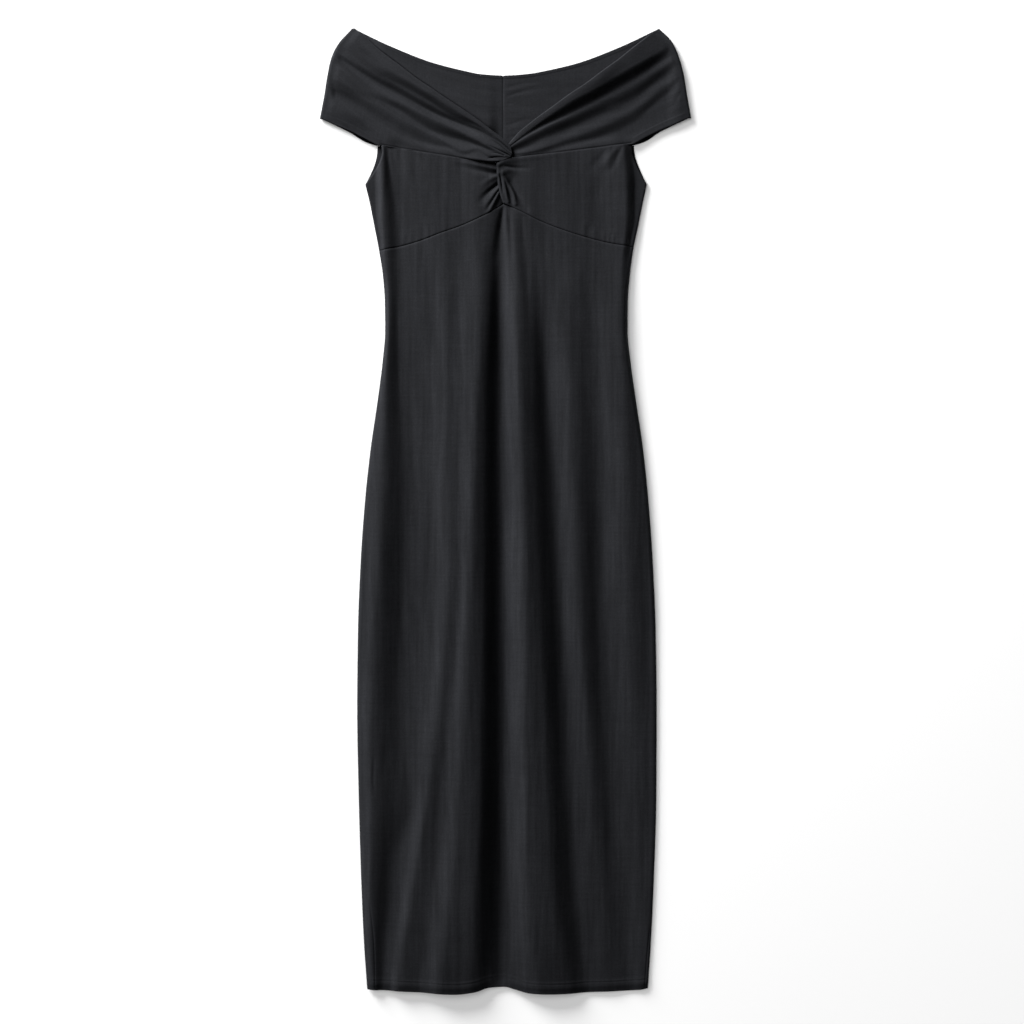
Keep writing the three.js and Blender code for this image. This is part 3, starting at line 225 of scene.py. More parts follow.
# Front of the band. The base height runs along the band from the outer fold
# (0) to the twist (1), at the lower edge, the middle and the neckline edge.
BAND_AT = [0, 0.1, 0.25, 0.45, 0.65, 0.8, 0.9, 1]
BAND_BASE = {
    "left": {"low": [5.8, 6.6, 7.8, 9.4, 10.6, 12.4, 14.4, 15.0], "middle": [8.8, 9.2, 9.4, 10.4, 12, 14.2, 16, 16.4],
             "neck": [6.8, 7.4, 8, 9.4, 11, 13, 15, 15.4]},
    "right": {"low": [5.8, 6.6, 8.2, 10, 11, 11.8, 12.2, 12.4], "middle": [7.6, 9, 9.6, 10.6, 11.6, 12.4, 12.6, 12],
              "neck": [3.4, 6.4, 8.4, 10, 11.4, 12.6, 13, 12.4]},
}
BAND_CREASES = {
    "left": {
        "neck roll": [(357, 35, 0, 1.6), (370, 46, 0.5, 2), (390, 63, 0.8, 2.2), (410, 78.4, 1.0, 2.2), (430, 92.6, 1.1, 2.2), (450, 105.6, 1.1, 2), (470, 119, 1.0, 1.8), (490, 133, 0.8, 1.6), (503, 143, 0.3, 1.4)],
        "upper hollow": [(368, 59, 0, 3), (384, 71, -1.3, 3.0), (400, 82.5, -2.6, 2.8), (417, 92.6, -3.6, 2.8), (433, 101.6, -4.0, 2.8), (448, 110.6, -4.0, 2.6), (462, 119.4, -3.6, 2.2), (474, 126, -2.2, 1.6), (486, 132.8, -0.8, 1.3), (496, 139, 0, 1.2)],
        "thin ridge": [(372, 71.4, 0, 1.2), (386, 79.6, 0.7, 1.2), (402, 88.8, 0.95, 1.2), (420, 98.6, 1.0, 1.2), (434, 106, 0.8, 1.2), (448, 113, 0, 1.2)],
        "first valley": [(336, 55, 0, 2.0), (344, 60, -1.3, 2.0), (364, 71.2, -2.2, 1.8), (384, 81.2, -2.8, 1.6), (400, 90.4, -3.3, 1.5), (424, 104, -3.5, 1.5), (446, 115.4, -3.6, 1.5), (466, 122.8, -3.6, 1.5), (478, 128.6, -3.4, 1.4), (490, 136.4, -2.6, 1.2), (500, 143, -1.0, 1.0)],
        "first ridge": [(338, 65, 0, 4), (352, 74, 1.0, 4.6), (376, 88.4, 1.4, 5), (400, 99.6, 1.6, 5.2), (424, 111.6, 1.8, 5.2), (448, 123.4, 2.0, 5), (472, 134.4, 2.0, 4.4), (490, 143, 1.8, 3.6), (504, 150, 0.6, 2.6)],
        "second valley": [(366, 92, 0, 3), (384, 99.6, -1.0, 2.8), (400, 107.4, -1.8, 2.6), (420, 118, -2.7, 2.3), (438, 127, -3.5, 2.1), (450, 132, -3.8, 1.9), (465, 138.2, -4.0, 1.7), (478, 144.6, -4.0, 1.5), (490, 150, -3.5, 1.3), (500, 154.6, -2.6, 1.1), (507, 157.4, -1.2, 1)],
        "second ridge": [(350, 84, 0, 4), (366, 97, 0.6, 5), (384, 108, 1.0, 5.4), (404, 120, 1.3, 5.4), (428, 132, 1.4, 5.2), (450, 141, 1.5, 4.8), (470, 148.6, 1.5, 4.2), (488, 155, 1.0, 3), (496, 158, 0, 2)],
        "low ridge": [(324, 84, 0, 3), (330, 92, 1.12, 3.2), (343, 107, 1.44, 3.4), (357, 118, 1.28, 3.6), (368, 126, 0, 4)],
        "low hollow": [(326, 79, 0, 2), (331, 84, -1.12, 2.2), (340, 90, -0.96, 3.4), (354, 100, -1.28, 5), (368, 110, -1.28, 5), (384, 120, 0, 6)],
        "low hollow 2": [(384, 122, 0, 5), (404, 131, -0.8, 5), (432, 140, -0.96, 5), (456, 148, 0, 4)],
        "fold dent": [(337, 34, 0, 2), (338, 45, -0.8, 2), (342, 51, -0.64, 2.4), (348, 54, 0, 3)],
        "fold dent 2": [(345, 38, 0, 2.4), (356, 45, 0.64, 2.6), (368, 56, 0, 3)],
        "third valley": [(486, 160.4, 0, 1.0), (489.5, 159.2, -0.5, 1.0), (495, 158, -0.9, 0.9), (501, 157.8, -0.7, 0.8), (506, 158.4, -0.2, 0.8)],
        "end groove 1": [(490, 140, 0, .9), (496, 143.6, -0.9, .9), (502, 148, -1.5, .8), (508, 152.8, -1.5, .7), (511.5, 155.6, -1, .6)],
        "end groove 2": [(496, 139.4, 0, .8), (502, 144, -1.1, .8), (507, 148.6, -1.5, .75), (511.6, 153.4, -1.2, .6)],
        "end groove 3": [(486, 145.6, 0, .9), (493, 148.4, -0.8, .9), (500, 151.6, -1.2, .8), (507, 155, -1.3, .7), (511, 156.8, -0.8, .6)],
        "end groove 4": [(490, 153.4, 0, .9), (497, 154.2, -0.7, .8), (504, 156.4, -0.8, .7)],
        "low edge curl": [(455, 156, 0, 2), (475, 159.4, 0.24, 2), (489, 161.6, 0.43, 1.8), (498, 161.6, 0.38, 1.5)],
    },
    "right": {
        "neck roll": [(653, 36, 0, 1.4), (645, 42, 0.8, 1.6), (630, 53.6, 0.9, 1.7), (610, 69.6, 0.9, 1.7), (585, 88, 1.0, 1.7), (570, 98, 1.0, 1.6), (555, 109, 1.0, 1.6), (540, 119.6, 1.0, 1.5), (528, 128.6, 0.8, 1.3), (516, 138.4, 0.4, 1.1)],
        "upper slope": [(664, 40, 0, 4), (650, 50, -0.6, 5), (628, 65, -0.8, 5), (600, 85, -0.8, 4.6), (575, 101, -0.6, 4), (552, 114, -0.3, 3), (538, 124, 0, 2)],
        "first valley": [(674, 48, 0, 3), (664, 53.5, -0.7, 3.2), (646, 66.5, -1.7, 3.6), (632, 76, -2.5, 3.8), (612, 88.5, -2.9, 3.8), (588, 101.4, -3.0, 3.6), (570, 109.4, -3.0, 3.2), (555, 117.6, -2.8, 2.6), (540, 126.4, -2.2, 1.9), (528, 133.6, -1.4, 1.4), (518, 140, -0.5, 1.1)],
        "first ridge": [(680, 57, 0, 2.4), (671, 62, 0.51, 2.4), (656, 72, 0.83, 2.4), (637, 83.6, 0.95, 2.3), (613, 95.5, 1.08, 2.2), (594, 105.6, 1.15, 2.2), (575, 114.6, 1.15, 2.1), (556, 122.2, 1.15, 2.0), (538, 131.6, 1.08, 1.9), (522, 140.6, 0.89, 1.7), (512, 146.6, 0.58, 1.4)],
        "second valley": [(681, 62, 0, 2.6), (671, 68.5, -0.51, 3), (656, 78, -0.77, 3.4), (637.5, 89.5, -0.95, 3.4), (619, 100.5, -1.08, 3.4), (599, 111.5, -1.27, 3.1), (580, 120.6, -1.4, 2.9), (560, 130, -1.46, 2.7), (543, 137.6, -1.46, 2.5), (526, 145, -1.6, 2.4), (514, 151, -1.78, 2.4)],
        "second ridge": [(678, 76, 0, 5), (660, 88, 0.5, 5.6), (640, 100, 0.7, 6), (616, 113, 0.7, 6), (592, 124.6, 0.8, 6), (570, 135, 0.8, 5.4), (548, 143.6, 0.9, 4.6), (530, 149.6, 0.8, 3.4), (520, 153, 0.4, 2.4)],
        "third valley": [(686, 72, 0, 2.4), (679, 80, -0.58, 2.6), (662, 95, -0.71, 3.4), (644, 110.6, -0.64, 4), (628, 121, -0.44, 4.6), (612, 129, 0, 5)],
        "third ridge": [(686, 84, 0, 2.6), (676, 92, 0.44, 2.8), (664, 104, 0.38, 3.2), (652, 116, 0.32, 3.6), (640, 126, 0, 4)],
        "fourth valley": [(687, 90, 0, 1.8), (681, 93, -0.44, 1.9), (673, 105, -0.38, 2.2), (664, 116, 0, 3)],
        "low hollow": [(616, 132, 0, 4), (600, 137.4, -0.44, 3.4), (580, 142.4, -0.64, 2.8), (562, 147.4, -0.77, 2.2), (546, 151.4, -0.71, 1.8), (530, 153.6, -0.38, 1.6), (520, 155, 0, 1.4)],
        "low ridge": [(610, 140.6, 0, 2.4), (590, 145.2, 0.26, 2), (566, 149.6, 0.32, 1.6), (548, 152.6, 0, 1.5)],
        "fold dent": [(674, 38, 0, 2), (676, 48, -0.32, 2), (678, 56, 0, 2.4)],
    },
}
# The long pleats of the band's front, crossed from the neckline edge to the
# lower edge: at the places x each line lies at y and stands z mm high.
PLEATS = {
    "left": {
        "at": [328, 345, 370, 400, 430, 450, 465, 478, 490, 500, 511],
        "edge z": [7.2, 8.2, 10.2, 13.6, 15.6, 16.4, 16.6, 16.8, 16.8, 16.6, 15.8],
        "lines": [
            ("neck roll", [30, 53.5, 61.5, 76, 94, 106.4, 116.4, 124.4, 133.2, 140.6, 149], [7.6, 9.2, 11.0, 14.3, 16.5, 17.3, 17.4, 17.6, 17.6, 17.2, 16.0]),
            ("hollow foot", [40, 57, 70.5, 85.0, 102, 114.6, 121.6, 126.8, 134.6, 142, 150], [7.9, 9.1, 9.9, 9.6, 10.9, 11.4, 12.6, 15.4, 16.8, 16.9, 15.8]),
            ("thin ridge", [44, 58.4, 72.6, 87.4, 104.6, 116, 123, 128, 135.4, 142.6, 150.6], [8.1, 8.6, 9.1, 9.0, 10.3, 10.4, 11.4, 14.6, 16.2, 16.6, 15.6]),
            ("first valley", [50, 62, 78.4, 94.4, 111, 120, 126, 131, 137.6, 144, 151.6], [8.2, 7.1, 6.0, 4.6, 5.4, 7.2, 9.4, 12.2, 15.0, 16.0, 15.2]),
            ("first ridge", [66, 74, 91, 103.5, 118.5, 127.5, 134.4, 141, 147.4, 150.2, 153.8], [9.2, 10.8, 10.4, 10.6, 11.6, 13.2, 15.0, 16.8, 17.6, 17.4, 16.2]),
            ("second valley", [74, 84, 96, 111, 130, 137.5, 141.5, 146.2, 151.2, 154.4, 156], [9.2, 10.8, 10.0, 7.8, 6.6, 7.4, 9.8, 13.0, 15.4, 16.2, 15.8]),
            ("second ridge", [80, 90, 101, 119, 135, 144.5, 151.5, 149.6, 156.2, 157, 157], [8.6, 9.0, 10.0, 11.0, 9.8, 10.8, 13.2, 14.2, 16.4, 16.2, 15.4]),
            ("low hollow", [88, 98, 114, 133, 144.5, 149, 155.2, 151.6, 158.8, 159, 158.2], [6.8, 6.0, 6.0, 7.7, 7.9, 9.8, 12.6, 14.2, 15.4, 15.4, 15.0]),
            ("low ridge", [102, 113, 125, 142.5, 150.5, 155, 158, 160.6, 161.6, 161.4, 158.8], [8.8, 10.2, 7.4, 9.3, 10.0, 10.9, 13.0, 15.6, 16.0, 15.5, 14.8]),
        ],
        "low z": [5.8, 6.6, 7.0, 8.4, 9.8, 10.6, 12.2, 13.8, 14.2, 14.3, 14.4],
    },
    "right": {
        "at": [507, 514, 525, 540, 555, 570, 600, 630, 660, 672],
        "edge z": [12.4, 13.1, 14.1, 15.1, 16.3, 17.1, 17.1, 14.1, 8.4, 6.8],
        "lines": [
            ("neck roll", [147.2, 141.2, 131, 119.6, 109.2, 98.4, 77.4, 55, 34, 32], [12.6, 13.3, 14.2, 15.2, 16.4, 17.2, 17.2, 14.2, 8.6, 7.0]),
            ("shelf", [148, 142.4, 133.6, 122.4, 112.2, 102.2, 86, 67.6, 50.5, 42], [12.5, 13.3, 14.0, 15.0, 16.1, 16.9, 15.8, 13.9, 9.2, 7.6]),
            ("first valley", [149, 143.8, 136.6, 127.6, 120.6, 113.6, 98, 81.5, 61.6, 54], [12.1, 12.5, 13.0, 12.3, 11.7, 10.9, 8.9, 7.6, 5.7, 6.3]),
            ("first ridge", [150, 145.4, 138.8, 131.0, 123.6, 117.2, 102.6, 87.5, 68.5, 61], [12.3, 12.9, 13.8, 14.0, 13.6, 12.0, 9.8, 8.5, 7.0, 7.3]),
            ("second valley", [153, 151.0, 147.6, 140.6, 134.6, 128.4, 115.0, 102, 79.5, 73], [11.2, 10.6, 10.8, 10.9, 10.0, 8.4, 6.4, 5.2, 4.0, 4.8]),
            ("second ridge", [155, 154.4, 153, 149.2, 144.0, 138.4, 127.0, 112, 89.5, 82], [11.5, 11.7, 12.4, 12.6, 11.6, 10.5, 9.1, 6.9, 5.7, 6.1]),
            ("third valley", [156, 155.8, 154.8, 153.2, 150.6, 147.2, 137.6, 125.4, 100, 92], [11.4, 11.5, 12.0, 11.5, 9.9, 8.5, 6.5, 4.4, 3.6, 4.0]),
        ],
        "low z": [11.4, 11.5, 12, 11.6, 11, 10.2, 9.0, 6.6, 5.2, 5.4],
    },
}
# features that ride on the pleats; the other creases belong to the outer end
ON_PLEATS = ["third valley", "end groove 1", "end groove 2", "end groove 3", "end groove 4", "low edge curl", "fold dent", "fold dent 2"]
# small creases of the back of the band, beside its middle seam
BACK_CREASES = {
    "seam side 1": [(505, 84, 0, 1.4), (510, 85.6, -0.55, 1.6), (522, 83, -0.35, 1.8), (540, 80.5, 0, 2.4)],
    "seam side 2": [(505, 96, 0, 1.4), (510, 94.6, -0.65, 1.6), (520, 91.5, -0.6, 1.8), (536, 88.4, -0.2, 2.2), (550, 86, 0, 2.4)],
    "seam side 3": [(505, 90, 0, 1.5), (512, 89.4, 0.5, 1.6), (524, 86.6, 0.3, 2), (538, 84, 0, 2.4)],
    "seam side 4": [(504.5, 102, 0, 1.2), (509, 102.6, -0.4, 1.3), (518, 101.6, 0, 1.8)],
    "seam side 5": [(504.5, 123, 0, 1.4), (510, 123.4, -0.6, 1.6), (522, 119.6, -0.4, 2), (536, 116.6, 0, 2.4)],
    "seam side 6": [(504.5, 128.6, 0, 1.4), (512, 128, 0.4, 1.8), (524, 126, 0, 2.4)],
    "seam side 7": [(504.5, 137, 0, 1.2), (511, 136.4, -0.5, 1.4), (522, 133.6, 0, 2)],
    "seam side 8": [(501.6, 91, 0, 1.4), (494, 90, -0.35, 1.8), (478, 87.6, -0.2, 2.4), (466, 86, 0, 2.8)],
    "seam side 9": [(501.6, 112, 0, 1.4), (494, 111.6, -0.3, 1.6), (482, 110.6, 0, 2.4)],
    "long wave": [(540, 98, 0, 5), (570, 90, -0.4, 6), (600, 78, 0, 7)],
    "long wave 2": [(470, 96, 0, 5), (440, 88, -0.35, 6), (410, 76, 0, 7)],
}


# --------------------------------------------------------- reading the tables
def creases(table, X, Y):
    """Height in mm of a table of creases at the grid places X, Y."""
    z = np.zeros_like(X)
    for path in table.values():
        p = spline(path, 36)
        reach = 3.2 * p[:, 3].max()
        near = ((X > p[:, 0].min() - reach) & (X < p[:, 0].max() + reach)
                & (Y > p[:, 1].min() - reach) & (Y < p[:, 1].max() + reach))
        if not near.any():
            continue
        x, y = X[near], Y[near]
        best = np.full(x.shape, 1e9)
        amp = np.zeros_like(x)
        half = np.ones_like(x)
        for a, b in zip(p[:-1], p[1:]):
            d = b[:2] - a[:2]
            t = np.clip(((x - a[0]) * d[0] + (y - a[1]) * d[1]) / max(d @ d, 1e-9), 0, 1)
            r = np.hypot(x - a[0] - t * d[0], y - a[1] - t * d[1])
            win = r < best
            best[win] = r[win]
            amp[win] = (a[2] + t * (b[2] - a[2]))[win]
            half[win] = (a[3] + t * (b[3] - a[3]))[win]
        z[near] += amp * np.exp(-((best / half) ** 2))
    return z


def through_many(ks, zs, y):
    """The curve of through(), with its own places ks (lines x points) for each y."""
    ks = ks.copy()
    for i in range(1, len(ks)):
        ks[i] = np.maximum(ks[i], ks[i - 1] + 0.5)
    h = np.diff(ks, axis=0)
    d = np.diff(zs, axis=0) / h
    m = np.zeros_like(zs)
    m[0], m[-1] = d[0], d[-1]
    prod = d[:-1] * d[1:]
    m[1:-1] = np.where(prod > 0, 2 * prod / np.where(prod > 0, d[:-1] + d[1:], 1), 0)
    out = np.where(y <= ks[0], zs[0], zs[-1])
    for i in range(len(h)):
        t = np.clip((y - ks[i]) / h[i], 0, 1)
        t2, t3 = t * t, t * t * t
        value = ((2 * t3 - 3 * t2 + 1) * zs[i] + (t3 - 2 * t2 + t) * h[i] * m[i]
                 + (-2 * t3 + 3 * t2) * zs[i + 1] + (t3 - t2) * h[i] * m[i + 1])
        out = np.where((y > ks[i]) & (y <= ks[i + 1]), value, out)
    return out


def wander(X, Y, seed, size_x, size_y, rise):
    """Slow seeded unevenness, a sum of waves that no two places share."""
    rng = np.random.default_rng(seed)
    z = np.zeros_like(X)
    for _ in range(14):
        a, b = rng.normal(0, 1 / size_x), rng.normal(0, 1 / size_y)
        z += np.sin(a * X + b * Y + rng.uniform(0, 6.283)) / 14**0.5
    return rise * z


def side(y, column):
    rows = SIDES
    return through([r[0] for r in rows], [r[column] for r in rows], y)


def armhole(y, column):
    return through([r[0] for r in ARMHOLES], [r[column] for r in ARMHOLES], y)


def front_left(y):
    return np.where(y >= 184, side(y, 1), armhole(y, 1) + armhole(y, 3))


def front_right(y):
    return np.where(y >= 184, side(y, 2), armhole(y, 2) - 0.5 * armhole(y, 3))


def seam_y(x):
    x = np.asarray(x, float)
    left = through([p[0] for p in SEAM_LEFT], [p[1] for p in SEAM_LEFT], x)
    right = through([p[0] for p in SEAM_RIGHT], [p[1] for p in SEAM_RIGHT], x)
    return np.where(x < SEAM_RIGHT[0][0], left, right)


def low_y(x, name):
    rows = LOW_LEFT if name == "left" else LOW_RIGHT[::-1]
    return through([p[0] for p in rows], [p[1] for p in rows], x)


# the height of the whole front on a raster, in mm
STEP = 0.5
RX = np.arange(345, 670, STEP)
RY = np.arange(138, 1004, STEP)


def build_raster():
    lines_x = np.array([through(STATIONS, v[0], RY) for v in LONG_FOLDS.values()])
    lines_z = np.array([through(STATIONS, v[1], RY) for v in LONG_FOLDS.values()])
    lines_z = 4 + (lines_z - 4) * (1.05 + 0.41 * ease((RY - 235) / 110))
    z = np.zeros((len(RY), len(RX)))
    for i in range(len(RY)):
        z[i] = through(lines_x[:, i], lines_z[:, i], RX)
    X, Y = np.meshgrid(RX, RY)
    # soften the interpolation a little across the folds
    for _ in range(3):
        z[:, 1:-1] = 0.25 * z[:, :-2] + 0.5 * z[:, 1:-1] + 0.25 * z[:, 2:]
    z += wander(X, Y, 3, 16, 60, 0.16)
    z += wander(X, Y, 4, 7, 22, 0.06)
    z += wander(X, Y, 5, 3.4, 34, 0.07)
    z += wander(X, Y, 6, 1.9, 16, 0.022)
    return z, X, Y


raster, _X, _Y = build_raster()


def sample(field, x, y):
    fx = np.clip((np.asarray(x) - RX[0]) / STEP, 0, len(RX) - 1.001)
    fy = np.clip((np.asarray(y) - RY[0]) / STEP, 0, len(RY) - 1.001)
    i, j = fy.astype(int), fx.astype(int)
    a, b = fy - i, fx - j
    return ((1 - a) * (1 - b) * field[i, j] + (1 - a) * b * field[i, j + 1]
            + a * (1 - b) * field[i + 1, j] + a * b * field[i + 1, j + 1])


def roll_down(z, x, y, width_low=2.4, width_high=4.6):
    """Rolls the front down to the back along its side edges."""
    d = np.minimum(x - front_left(y), front_right(y) - x)
    width = width_low + (width_high - width_low) * ease((y - 235) / 60)
    c = 1 - np.clip(d, 0, width) / width
    return SIDE_LIFT + (z - SIDE_LIFT) * np.sqrt(np.maximum(0, 1 - c * c))


# ------------------------------------------------------------------- meshing
def normals(mid):
    du = np.zeros_like(mid)
    dv = np.zeros_like(mid)
    du[:, 1:-1] = mid[:, 2:] - mid[:, :-2]
    du[:, 0], du[:, -1] = mid[:, 1] - mid[:, 0], mid[:, -1] - mid[:, -2]
    dv[1:-1] = mid[2:] - mid[:-2]
    dv[0], dv[-1] = mid[1] - mid[0], mid[-1] - mid[-2]
    n = np.cross(du, dv)
    return n / np.maximum(np.linalg.norm(n, axis=2, keepdims=True), 1e-9)


def cloth(name, mid, wall=CLOTH, along_rows=False, thick=None):
    """Closed cloth with soft round edges from a grid of middle points in mm."""
    rows, cols = mid.shape[:2]
    n = normals(mid)
    half = (wall / 2 if thick is None else thick[..., None] / 2)
    top, bottom = mid + n * half, mid - n * half
    loop = ([(0, j) for j in range(cols)] + [(i, cols - 1) for i in range(1, rows)]
            + [(rows - 1, j) for j in range(cols - 2, -1, -1)] + [(i, 0) for i in range(rows - 2, 0, -1)])
    li = np.array([p[0] for p in loop])
    lj = np.array([p[1] for p in loop])
    inner_i, inner_j = np.clip(li, 1, rows - 2), np.clip(lj, 1, cols - 2)
    out = mid[li, lj] - mid[inner_i, inner_j]
    nl = n[li, lj]
    out -= nl * (out * nl).sum(1, keepdims=True)
    out /= np.maximum(np.linalg.norm(out, axis=1, keepdims=True), 1e-9)
    hl = (np.full((len(loop), 1), wall / 2) if thick is None else thick[li, lj][:, None] / 2)
    rim = []
    for a in (45, 90, 135):
        r = math.radians(a)
        rim.append(mid[li, lj] + nl * hl * math.cos(r) + out * hl * math.sin(r))
    verts = np.concatenate([top.reshape(-1, 3), bottom.reshape(-1, 3)] + rim)
    N = rows * cols
    I, J = np.meshgrid(np.arange(rows - 1), np.arange(cols - 1), indexing="ij")
    a = (I * cols + J).ravel()
    quads = [np.stack([a, a + 1, a + cols + 1, a + cols], 1), N + np.stack([a, a + cols, a + cols + 1, a + 1], 1)]
    L = len(loop)
    ring = np.arange(L)
    nxt = (ring + 1) % L
    t = li * cols + lj
    levels = [t] + [2 * N + k * L + ring for k in range(3)] + [N + t]
    for p, q in zip(levels[:-1], levels[1:]):
        quads.append(np.stack([p[nxt], p[ring], q[ring], q[nxt]], 1))
    faces = np.concatenate(quads)
    # the cloth's own lengths, for the knit
    su = np.concatenate([np.zeros((rows, 1)), np.cumsum(np.linalg.norm(np.diff(mid, axis=1), axis=2), axis=1)], 1)
    sv = np.concatenate([np.zeros((1, cols)), np.cumsum(np.linalg.norm(np.diff(mid, axis=0), axis=2), axis=0)], 0)
    uv = np.stack([sv, su] if along_rows else [su, sv], 2).reshape(-1, 2) / 1000
    uvs = np.concatenate([uv, uv] + [uv[t]] * 3)
    me = bpy.data.meshes.new(name)
    me.vertices.add(len(verts))
    me.vertices.foreach_set("co", (verts / 1000).astype(np.float32).ravel())
    me.loops.add(faces.size)
    me.loops.foreach_set("vertex_index", faces.astype(np.int32).ravel())
    me.polygons.add(len(faces))
    me.polygons.foreach_set("loop_start", np.arange(0, faces.size, 4, dtype=np.int32))
    me.polygons.foreach_set("use_smooth", np.ones(len(faces), dtype=bool))
    layer = me.uv_layers.new(name="cloth")
    layer.data.foreach_set("uv", uvs[faces.ravel()].astype(np.float32).ravel())
    me.update(calc_edges=True)
    me.validate()
    o = bpy.data.objects.new(name, me)
    bpy.context.collection.objects.link(o)
    return o


def grid_mm(x, y, z):
    return np.stack([mm_x(x), mm_y(y), z], axis=2)


def spaced(knots, n):
    """n values from 0 to 1, close together where knots (place, closeness) say."""
    t = np.linspace(0, 1, 2001)
    w = np.interp(t, [k[0] for k in knots], [k[1] for k in knots])
    s = np.concatenate([[0], np.cumsum((w[1:] + w[:-1]) / 2)])
    return np.interp(np.linspace(0, s[-1], n), s, t)


def ditch(d, depth=0.75, width=1.0):
    """Seam groove: how far the cloth dips at a distance d (grid steps) from it."""
    return -depth * np.exp(-((d / width) ** 2))


GAP = 0.06   # grid steps from a seam line to the cloth's middle edge


def skirt_front():
    u = spaced([(0, 9), (0.02, 7), (0.06, 1.6), (0.12, 1), (0.45, 1), (0.5, 1.3), (0.55, 1), (0.88, 1), (0.94, 1.6), (0.98, 7), (1, 9)], 190)
    v = spaced([(0, 5), (0.008, 3), (0.05, 1.2), (0.3, 1), (0.955, 1), (0.975, 4), (1, 7)], 220)
    U, V = np.meshgrid(u, v)
    inset = CLOTH / 2 / GRID
    x = 365 + U * 280
    hx, hy = [p[0] for p in HEM], [p[1] for p in HEM]
    for _ in range(10):
        top = seam_y(x) + GAP + inset
        y = top + (through(hx, hy, x) - inset - top) * V
        x = front_left(y) + inset + (front_right(y) - front_left(y) - 2 * inset) * U
    z = sample(raster, x, y)
    z += creases(SKIRT_CREASES, x, y)
    z = roll_down(z, x, y)
    z += ditch(y - seam_y(x), 0.55, 0.85)
    # the turned hem, held by two rows of stitches
    up = through(hx, hy, x) - y
    z += 0.35 * ease((13.6 - up) / 1.2)
    z += ditch(up - 12.4, 0.3, 0.55) + ditch(up - 10.0, 0.3, 0.55)
    # the hem's edge bends down a little towards the surface, and lifts at the deep fold
    z -= 1.3 * ease((7 - up) / 7) * (1 - ease((18 - np.abs(x - 500)) / 18))
    z += 1.2 * ease((9 - up) / 9) * ease((16 - np.abs(x - 501)) / 16)
    # side seams, seen on the front where they wander off the edge
    left_line = through([880, 905, 950, 990], [361.5, 370, 374.3, 375], y)
    z += np.where(y > 880, ditch(x - left_line, 0.5, 0.7) * ease((y - 885) / 25), 0)
    right_line = through([915, 935, 990], [653, 649.3, 644.5], y)
    z += np.where(y > 915, ditch(x - right_line, 0.45, 0.7) * ease((y - 920) / 20), 0)
    z = np.maximum(z, 1.2 + CLOTH / 2 + 0.1)
    return cloth("skirt_front_cloth", grid_mm(x, y, z)[::-1])


